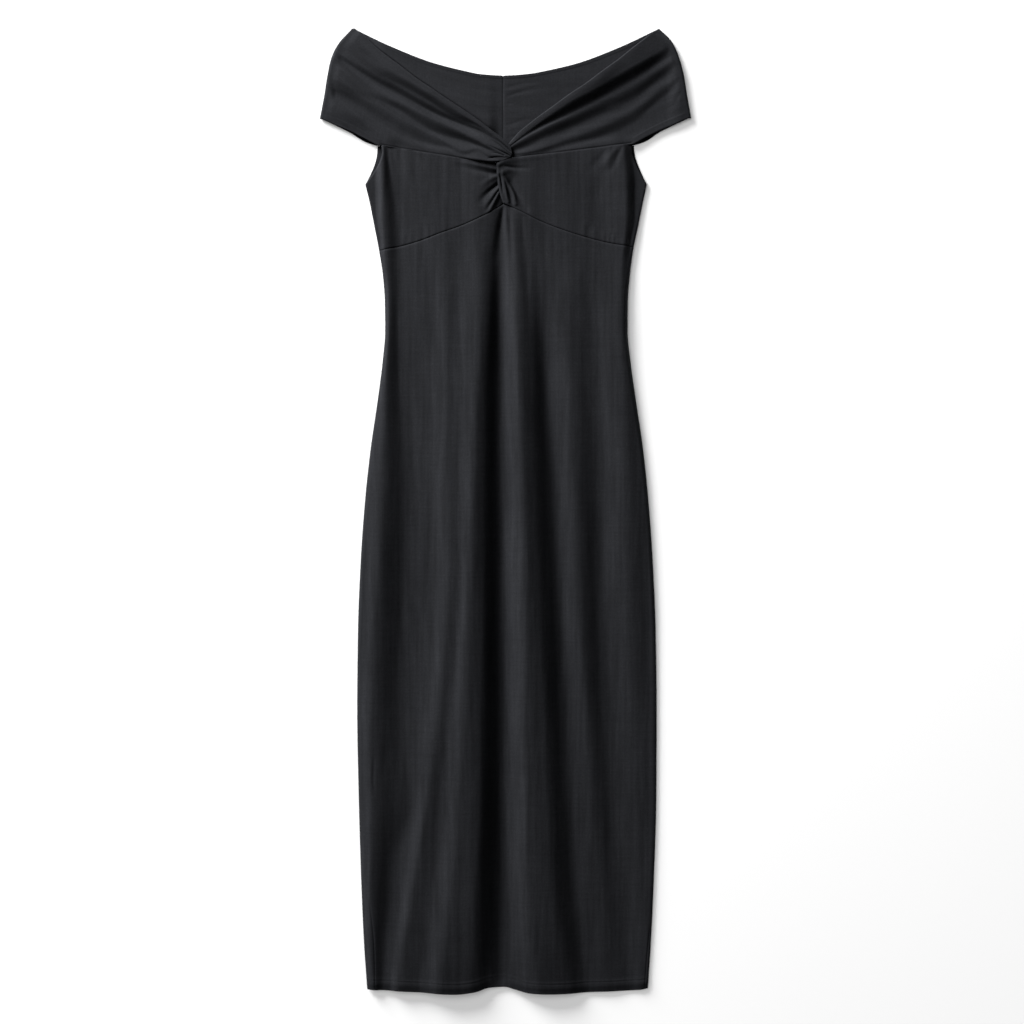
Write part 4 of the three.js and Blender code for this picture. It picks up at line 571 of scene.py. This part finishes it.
def cup(name):
    left = name == "left"
    inset = CLOTH / 2 / GRID
    u = spaced([(0, 8), (0.015, 6), (0.05, 2.2), (0.12, 1.6), (0.25, 1), (0.6, 1), (0.8, 1.8), (0.93, 3), (1, 5)], 150)
    v = spaced([(0, 3), (0.03, 1.5), (0.5, 1), (0.9, 1.2), (0.97, 2), (1, 4)], 110)
    U, V = np.meshgrid(u, v)
    if left:
        middle = np.array([(501.4, 205.2), (502.4, 196), (501.6, 185), (499.6, 174), (498.6, 166)])
        y0, y1 = 250.6, low_y(382.0, name) + 0.6
    else:
        middle = np.array([(504.4, 203.4), (502.0, 197), (500.2, 188), (499.0, 178), (498.6, 169), (500.2, 163.8)])
        y0, y1 = 247.1, low_y(629.5, name) + 0.6
    sy = y0 + (y1 - y0) * v
    sx = (front_left(sy) + inset) if left else (front_right(sy) - inset)
    m = spline(middle, 200)
    mx = np.interp(v, np.linspace(0, 1, 200), m[:, 0])
    my = np.interp(v, np.linspace(0, 1, 200), m[:, 1])
    bottom_x = sx[0] + (mx[0] - sx[0]) * u
    bottom_y = seam_y(bottom_x) - GAP - inset
    top_x = sx[-1] + (mx[-1] - sx[-1]) * u
    top_y = low_y(top_x, name) + GAP + inset + 0.25
    by0, by1 = bottom_y[0], bottom_y[-1]
    ty0, ty1 = top_y[0], top_y[-1]
    # a patch between the seam, the band, the side and the middle
    x = ((1 - V) * bottom_x + V * top_x + (1 - U) * sx[:, None] + U * mx[:, None]
         - ((1 - U) * (1 - V) * bottom_x[0] + U * (1 - V) * bottom_x[-1] + (1 - U) * V * top_x[0] + U * V * top_x[-1]))
    syv = by0 + (ty0 - by0) * v
    myv = my + (by1 - my[0]) * (1 - v) + (ty1 - my[-1]) * v
    y = ((1 - V) * bottom_y + V * top_y + (1 - U) * syv[:, None] + U * myv[:, None]
         - ((1 - U) * (1 - V) * by0 + U * (1 - V) * by1 + (1 - U) * V * ty0 + U * V * ty1))
    z = sample(raster, x, y)
    mine = {k: p for k, p in BODY_CREASES.items()
            if (np.mean([q[0] for q in p]) < 501) == left or abs(np.mean([q[0] for q in p]) - 501) > 60}
    z += creases(mine, x, y)
    near = np.abs(x - mx[:, None])
    if left:
        z -= 0.9 * ease((3.5 - near) / 3.5)
    else:
        wide = 10 + 10 * ease((186 - y) / 14)
        z += 2.6 * ease((wide - near) / (wide - 2))
    z = roll_down(z, x, y)
    z += ditch(seam_y(x) - y, 0.55, 0.85) + ditch(y - low_y(x, name), 0.6, 0.9) * ease((0.93 - U) / 0.05)
    # stitched edge of the armhole
    edge_d = (x - front_left(y)) if left else (front_right(y) - x)
    z += np.where(y < 186, 0.25 * np.exp(-((edge_d - 1.2) / 0.9) ** 2) * ease((184 - y) / 10), 0)
    z = np.maximum(z, 1.2 + CLOTH / 2 + 0.1)
    g = grid_mm(x, y, z)
    if not left:
        # the middle edge rolls under itself
        extra = []
        r = 1.3 + 1.3 * ease((v - 0.08) / 0.25) * (0.45 + 0.55 * ease((1 - v) / 0.12))
        e = g[:, -1]
        for a in (35, 70, 105, 140, 170):
            t = math.radians(a)
            p = e.copy()
            p[:, 0] -= r * math.sin(t)
            p[:, 2] -= r * (1 - math.cos(t))
            extra.append(p[:, None])
        g = np.concatenate([g] + extra, axis=1)
        g = g[:, ::-1]
    return cloth(f"cup_{name}_cloth", g)


def band(name):
    left = name == "left"
    s = -1 if left else 1
    inset = CLOTH / 2 / GRID
    v = spaced([(0, 4), (0.03, 2), (0.1, 1), (0.5, 1), (0.9, 1), (0.97, 2), (1, 4)], 124)
    nb, nf = 90, 250
    fold = spline((FOLD_LEFT if left else FOLD_RIGHT)[::-1], 400)
    low_b, neck_b = (spline(BACK_LOW_LEFT if left else BACK_LOW_RIGHT, 400), spline(NECK_BACK_LEFT if left else NECK_BACK_RIGHT, 400))
    neck_f = spline(NECK_LEFT if left else NECK_RIGHT, 400)
    xs = np.linspace(*( (319.6, 500.5) if left else (691.4, 508) ), 400)
    lf = np.stack([xs, low_y(xs, name)], 1)
    low_f = spline(lf[::8].tolist() + [lf[-1].tolist()], 400)
    seam_x = 503.2 + s * 0.16
    if left:
        end = spline([low_f[-1], (506.4, 159.3), (510.7, 156.8), (511.5, 152.0), neck_f[-1]], 400)
    else:
        end = spline([low_f[-1], (507, 153), neck_f[-1]], 400)
    start = np.stack([np.full(400, 503.2), np.linspace(150, 75.2, 400)], 1)

    def along(curve, t):
        t = np.asarray(t) * 399
        return np.stack([np.interp(t, np.arange(400), curve[:, k]) for k in (0, 1)], -1)

    def patch(lo, hi, a, b, u):
        U, V = np.meshgrid(u, v)
        U, V = U[..., None], V[..., None]
        return ((1 - V) * along(lo, u)[None] + V * along(hi, u)[None] + (1 - U) * along(a, v)[:, None] + U * along(b, v)[:, None]
                - ((1 - U) * (1 - V) * lo[0] + U * (1 - V) * lo[-1] + (1 - U) * V * hi[0] + U * V * hi[-1]))

    base = BAND_BASE[name]

    def base_z(u, vv):
        lo, mi, ne = (through(BAND_AT, base[k], u) for k in ("low", "middle", "neck"))
        a = 2 * lo + 2 * ne - 4 * mi
        b = 4 * mi - 3 * lo - ne
        return a * vv**2 + b * vv + lo

    r = (base_z(np.zeros_like(v), v) - CLOTH / 2) / 2 / GRID      # fold radius in grid steps
    # back part
    ub = np.linspace(0, 1, nb)
    pb = patch(low_b, neck_b, start, fold, ub)
    pull = (inset + r)[:, None] * ease((ub[None] - 0.75) / 0.25)
    xb, yb = pb[..., 0] - s * pull, pb[..., 1]
    xb[:, 0] = seam_x
    zb = CLOTH / 2 + np.maximum(0, 0.55 * creases(BACK_CREASES, xb, yb) + wander(xb, yb, 11 if left else 12, 14, 9, 0.12) + 0.35) * ease(np.minimum(1 - ub, 0.3)[None] * 6)
    zb += ditch(np.abs(xb - 503.2), 0.3, 0.6)
    if left:
        # the back rises a little beside the front's edge, and dips beneath it
        away = (np.interp(xb, [q[0] for q in NECK_LEFT], [q[1] for q in NECK_LEFT]) - yb) * 0.8
        zb += (5.0 * np.exp(-np.maximum(away - 3.0, 0) / 16) * ease((away - 0.1) / 2.9)
               * ease((xb - 362) / 24) * ease((500 - xb) / 12))
    zb += 0.3 * ease((v[:, None] - 0.955) / 0.02)          # turned neckline
    zb = np.maximum(zb, CLOTH / 2)
    # the outer fold
    turns = np.radians(np.linspace(-90, 90, 17)[1:-1])
    rim = along(fold, v)
    xt = rim[:, :1] - s * (inset + r[:, None] * (1 - np.cos(turns)[None]))
    yt = np.repeat(rim[:, 1:2], len(turns), 1)
    zt = CLOTH / 2 + r[:, None] * GRID * (1 + np.sin(turns)[None])
    # front part
    uf = spaced([(0, 1.6), (0.1, 1), (0.6, 1), (0.85, 1.8), (0.95, 3), (1, 4)], nf)
    pf = patch(low_f, neck_f, fold, end, uf)
    pull = (inset + r)[:, None] * (1 - ease(uf[None] / 0.12))
    xf, yf = pf[..., 0] - s * pull, pf[..., 1]
    UF, VF = np.meshgrid(uf, v)
    zf = base_z(UF, VF)
    fade = ease(UF / 0.05)
    mine = BAND_CREASES[name]
    zf += creases({k: p for k, p in mine.items() if k not in ON_PLEATS or (not left and k == "third valley")}, xf, yf) * fade
    table = PLEATS[name]
    edge = np.array((NECK_LEFT if left else NECK_RIGHT[::-1]))
    ks = np.array([np.interp(xf, edge[:, 0], edge[:, 1])] + [through(table["at"], row[1], xf) for row in table["lines"]]
                  + [low_y(xf, name)])
    zs = np.array([through(table["at"], table["edge z"], xf)] + [through(table["at"], row[2], xf) for row in table["lines"]]
                  + [through(table["at"], table["low z"], xf)])
    ks[-1] = np.maximum(ks[-1], ks[-2] + 0.5)
    on = ease((xf - 321) / 12) if left else ease((682 - xf) / 16)
    zf += (through_many(ks, zs, yf) - zf) * on * fade
    if left:
        zf += creases({k: p for k, p in mine.items() if k in ON_PLEATS}, xf, yf) * fade
    zf += (wander(xf, yf, 21 if left else 22, 12, 12, 0.1) + wander(xf, yf, 23 if left else 24, 5, 5, 0.05)) * fade
    inside = (xf - front_left(np.maximum(yf, 144.5))) if left else (front_right(np.maximum(yf, 144.5)) - xf)
    low_d = low_y(xf, name) - yf
    join = ease((0.2 - VF) / 0.2) * ease((inside - 6) / 16) * ease((0.86 - UF) / 0.16)
    zf += (sample(raster, xf, np.maximum(yf, 144)) - zf) * join
    sewn = ease((inside + 1.5) / 3) * ease((0.95 - UF) / 0.04)
    zf += ditch(low_d, 0.55, 0.9) * sewn
    # free lower edge of the sleeve: turned and stitched
    free = (1 - ease((inside + 2) / 3)) * fade
    zf += 0.3 * free * ease((6.6 - low_d) / 1.0) + ditch(low_d - 5.6, 0.28, 0.5) * free
    zf = np.maximum(zf, 2.6 + CLOTH / 2)
    back = np.stack([mm_x(xb), mm_y(yb), zb], 2)
    turn = np.stack([mm_x(xt), mm_y(yt), zt], 2)
    front = np.stack([mm_x(xf), mm_y(yf), zf], 2)
    if left:
        # the bunch ends rounded, and goes down into the twist
        e = front[:, -1]
        d = front[:, -1] - front[:, -4]
        d[:, 2] = 0
        d /= np.maximum(np.linalg.norm(d, axis=1, keepdims=True), 1e-6)
        extra = []
        R = 2.8
        for a in (15, 30, 45, 60, 75, 90):
            t = math.radians(a)
            p = e + d * R * math.sin(t) * 0.3
            p[:, 2] = e[:, 2] - R * (1 - math.cos(t))
            extra.append(p[:, None])
        front = np.concatenate([front] + extra, axis=1)
    g = np.concatenate([back, turn, front], axis=1)
    # the neckline edge is folded in: a soft roll along it
    last = g[-1]
    inward = g[-3] - g[-1]
    inward /= np.maximum(np.linalg.norm(inward, axis=1, keepdims=True), 1e-6)
    k0 = nb + len(turns) + 6
    w = ease((np.arange(g.shape[1]) - k0) / 14.0)[:, None] * ease((g.shape[1] - 14 - np.arange(g.shape[1])) / 14.0)[:, None]
    rows = []
    rr = 1.0
    for a in (40, 80, 120, 155):
        t = math.radians(a)
        p = last - inward * rr * math.sin(t) * w
        p[:, 2] -= (rr * (1 - math.cos(t)) * w)[:, 0]
        p -= inward * 0.02 * a / 40 * (1 - w)
        rows.append(p[None])
    g = np.concatenate([g] + rows, axis=0)
    # a back layer lies on the surface
    if left:
        g = g[::-1]
    return cloth(f"band_{name}_cloth", g, along_rows=True)


def back_body():
    v = np.linspace(0, 1, 150)
    u = spaced([(0, 4), (0.03, 1.4), (0.5, 1), (0.97, 1.4), (1, 4)], 70)
    inset = CLOTH / 2 / GRID
    U, V = np.meshgrid(u, v)
    x = 365 + U * 280
    y = None
    for _ in range(8):
        top = through([377, 440, 503.2, 570, 634.3], [145.3, 149.0, 150.1, 149.0, 144.8], x) + inset
        bottom = through([367, 400, 505, 610, 648], [985.4, 986.2, 986.8, 986.2, 984.6], x) - inset
        y = top + (bottom - top) * V
        l = np.where(y >= 184, side(y, 1), armhole(y, 1)) + inset
        r = np.where(y >= 184, side(y, 2), armhole(y, 2)) - inset
        x = l + (r - l) * U
    z = np.full_like(x, 0.6)
    up = bottom - y
    z += 0.0 * up
    thick = np.full(x.shape, 1.2)
    o = cloth("back_body_cloth", np.stack([mm_x(x), mm_y(y), z], 2)[::-1], wall=1.2, thick=thick)
    return o


# ----------------------------------------------------------------- materials
def jersey(name, follow):
    m = bpy.data.materials.new(name)
    m.use_nodes = True
    nt = m.node_tree
    nt.nodes.clear()
    N, Lk = nt.nodes.new, nt.links.new
    out = N("ShaderNodeOutputMaterial")
    bsdf = N("ShaderNodeBsdfPrincipled")
    Lk(bsdf.outputs[0], out.inputs[0])
    uv = N("ShaderNodeUVMap"); uv.uv_map = "cloth"
    obj = N("ShaderNodeTexCoord")
    grain_of = uv.outputs[0] if follow else obj.outputs["Object"]
    # the knit: fine upright ribs crossed by courses
    rib = N("ShaderNodeTexWave"); rib.wave_type = "BANDS"; rib.bands_direction = "X"; rib.wave_profile = "SIN"
    rib.inputs["Scale"].default_value = 260.0
    rib.inputs["Distortion"].default_value = 0.6
    rib.inputs["Detail"].default_value = 1.0
    course = N("ShaderNodeTexWave"); course.wave_type = "BANDS"; course.bands_direction = "Y"; course.wave_profile = "SIN"
    course.inputs["Scale"].default_value = 330.0
    course.inputs["Distortion"].default_value = 0.8
    Lk(grain_of, rib.inputs["Vector"])
    Lk(grain_of, course.inputs["Vector"])
    knit = N("ShaderNodeMath"); knit.operation = "MULTIPLY"
    Lk(rib.outputs["Fac"], knit.inputs[0]); Lk(course.outputs["Fac"], knit.inputs[1])
    fuzz = N("ShaderNodeTexNoise"); fuzz.inputs["Scale"].default_value = 900.0; fuzz.inputs["Detail"].default_value = 3.0
    Lk(obj.outputs["Object"], fuzz.inputs["Vector"])
    patchy = N("ShaderNodeTexNoise"); patchy.inputs["Scale"].default_value = 42.0; patchy.inputs["Detail"].default_value = 4.0
    patchy.inputs["Roughness"].default_value = 0.6
    Lk(obj.outputs["Object"], patchy.inputs["Vector"])
    bump1 = N("ShaderNodeBump"); bump1.inputs["Strength"].default_value = 0.35; bump1.inputs["Distance"].default_value = 0.0002
    Lk(knit.outputs[0], bump1.inputs["Height"])
    bump2 = N("ShaderNodeBump"); bump2.inputs["Strength"].default_value = 0.3; bump2.inputs["Distance"].default_value = 0.00035
    Lk(fuzz.outputs["Fac"], bump2.inputs["Height"]); Lk(bump1.outputs[0], bump2.inputs["Normal"])
    bump3 = N("ShaderNodeBump"); bump3.inputs["Strength"].default_value = 0.25; bump3.inputs["Distance"].default_value = 0.0011
    Lk(patchy.outputs["Fac"], bump3.inputs["Height"]); Lk(bump2.outputs[0], bump3.inputs["Normal"])
    Lk(bump3.outputs[0], bsdf.inputs["Normal"])
    # colour: near black with a cool cast, streaked along the wales and mottled
    stretch = N("ShaderNodeMapping"); stretch.inputs["Scale"].default_value = (150.0, 9.0, 1.0)
    Lk(grain_of, stretch.inputs["Vector"])
    streak = N("ShaderNodeTexNoise"); streak.inputs["Scale"].default_value = 1.0; streak.inputs["Detail"].default_value = 4.0
    streak.inputs["Roughness"].default_value = 0.62
    Lk(stretch.outputs[0], streak.inputs["Vector"])
    wide = N("ShaderNodeMapping"); wide.inputs["Scale"].default_value = (52.0, 5.0, 1.0)
    Lk(grain_of, wide.inputs["Vector"])
    bands = N("ShaderNodeTexNoise"); bands.inputs["Scale"].default_value = 1.0; bands.inputs["Detail"].default_value = 2.0
    Lk(wide.outputs[0], bands.inputs["Vector"])
    across = N("ShaderNodeMapping"); across.inputs["Scale"].default_value = (22.0, 330.0, 1.0)
    Lk(grain_of, across.inputs["Vector"])
    courses = N("ShaderNodeTexNoise"); courses.inputs["Scale"].default_value = 1.0; courses.inputs["Detail"].default_value = 2.0
    Lk(across.outputs[0], courses.inputs["Vector"])
    grain = N("ShaderNodeTexNoise"); grain.inputs["Scale"].default_value = 430.0; grain.inputs["Detail"].default_value = 3.0
    grain.inputs["Roughness"].default_value = 0.7
    Lk(obj.outputs["Object"], grain.inputs["Vector"])

    def scaled(socket, low, high):
        n = N("ShaderNodeMapRange")
        n.inputs["From Min"].default_value = 0.25
        n.inputs["From Max"].default_value = 0.75
        n.inputs["To Min"].default_value = low
        n.inputs["To Max"].default_value = high
        Lk(socket, n.inputs["Value"])
        return n.outputs["Result"]

    def times(a, b):
        n = N("ShaderNodeMath"); n.operation = "MULTIPLY"
        Lk(a, n.inputs[0]); Lk(b, n.inputs[1])
        return n.outputs[0]

    strong = 0.15 if follow else 0.26
    shade = times(times(scaled(streak.outputs["Fac"], 1 - strong, 1 + strong), scaled(grain.outputs["Fac"], 0.84, 1.16)),
                  times(scaled(courses.outputs["Fac"], 0.93, 1.07), scaled(fuzz.outputs["Fac"], 0.9, 1.1)))
    shade = times(shade, scaled(bands.outputs["Fac"], 1 - 0.6 * strong, 1 + 0.6 * strong))
    tone = N("ShaderNodeMix"); tone.data_type = "RGBA"
    tone.inputs["A"].default_value = (0.0206, 0.0214, 0.0246, 1)
    tone.inputs["B"].default_value = (0.0268, 0.0277, 0.0312, 1)
    Lk(patchy.outputs["Fac"], tone.inputs["Factor"])
    col = N("ShaderNodeVectorMath"); col.operation = "SCALE"
    Lk(tone.outputs["Result"], col.inputs[0]); Lk(shade, col.inputs["Scale"])
    Lk(col.outputs[0], bsdf.inputs["Base Color"])
    rough = N("ShaderNodeMapRange"); rough.inputs["To Min"].default_value = 0.70; rough.inputs["To Max"].default_value = 0.80
    Lk(patchy.outputs["Fac"], rough.inputs["Value"])
    Lk(rough.outputs["Result"], bsdf.inputs["Roughness"])
    bsdf.inputs["Specular IOR Level"].default_value = 0.06
    bsdf.inputs["Sheen Weight"].default_value = 0.004
    bsdf.inputs["Sheen Roughness"].default_value = 0.45
    bsdf.inputs["Sheen Tint"].default_value = (0.75, 0.8, 0.9, 1)
    return m


def pale_floor():
    m = bpy.data.materials.new("pale_floor")
    m.use_nodes = True
    b = m.node_tree.nodes["Principled BSDF"]
    b.inputs["Base Color"].default_value = (0.86, 0.86, 0.86, 1)
    b.inputs["Roughness"].default_value = 0.95
    b.inputs["Specular IOR Level"].default_value = 0.1
    return m


# -------------------------------------------------------------------- pieces
body_mat = jersey("black_jersey", False)
band_mat = jersey("black_jersey_band", True)
pieces = {
    "skirt_front": skirt_front(),
    "cup_left": cup("left"),
    "cup_right": cup("right"),
    "band_left": band("left"),
    "band_right": band("right"),
    "back_body": back_body(),
}

floor_mesh = bpy.data.meshes.new("floor")
floor_mesh.from_pydata([(-6, -6, 0), (6, -6, 0), (6, 6, 0), (-6, 6, 0)], [], [(0, 1, 2, 3)])
floor = bpy.data.objects.new("floor", floor_mesh)
floor.location.z = -0.0004
bpy.context.collection.objects.link(floor)
floor.data.materials.append(pale_floor())

for node, o in pieces.items():
    o.data.materials.append(band_mat if node.startswith("band") else body_mat)
    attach(o, "root")
    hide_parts(node)

# ---------------------------------------------------------------- the picture
cam_data = bpy.data.cameras.new("camera")
cam = bpy.data.objects.new("camera", cam_data)
bpy.context.collection.objects.link(cam)
HEIGHT = 3.2
cam_data.sensor_width = 36.0
view_width = 1024 * GRID / 1000
cam_data.lens = 36.0 * (HEIGHT - 0.008) / view_width
cam.location = ((512 - MID_X) * GRID / 1000, (MID_Y - 512) * GRID / 1000, HEIGHT)
cam.rotation_euler = (0, 0, 0)
bpy.context.scene.camera = cam


def sun(name, direction, strength, angle, colour=(1, 1, 1)):
    d = bpy.data.lights.new(name, "SUN")
    d.energy = strength
    d.angle = math.radians(angle)
    d.color = colour
    o = bpy.data.objects.new(name, d)
    bpy.context.collection.objects.link(o)
    o.rotation_euler = Vector(direction).to_track_quat("Z", "Y").to_euler()
    return o


# the key: a big round softbox up and to the left, low over the table
reach = 4.7
key_data = bpy.data.lights.new("key", "AREA")
key_data.shape = "DISK"
key_data.size = 2.5
key_data.energy = 505
key = bpy.data.objects.new("key", key_data)
bpy.context.collection.objects.link(key)
towards = np.array((-0.603, 0.718, 0.348))
key.location = tuple(np.array((0.0, 0.12, 0.0)) + reach * towards)
key.rotation_euler = Vector(tuple(towards)).to_track_quat("Z", "Y").to_euler()
# a fill that only lightens the floor's shadow, as a reflector under the table does
fill = sun("floor fill", (-0.2, 0.2, 1.0), 1.95, 60)
lit = bpy.data.collections.new("floor_only")
lit.objects.link(floor)
fill.light_linking.receiver_collection = lit
world = bpy.data.worlds.new("studio")
bpy.context.scene.world = world
world.use_nodes = True
world.node_tree.nodes["Background"].inputs["Color"].default_value = (1, 1, 1, 1)
world.node_tree.nodes["Background"].inputs["Strength"].default_value = 0.04
bpy.context.scene.view_settings.view_transform = "Standard"
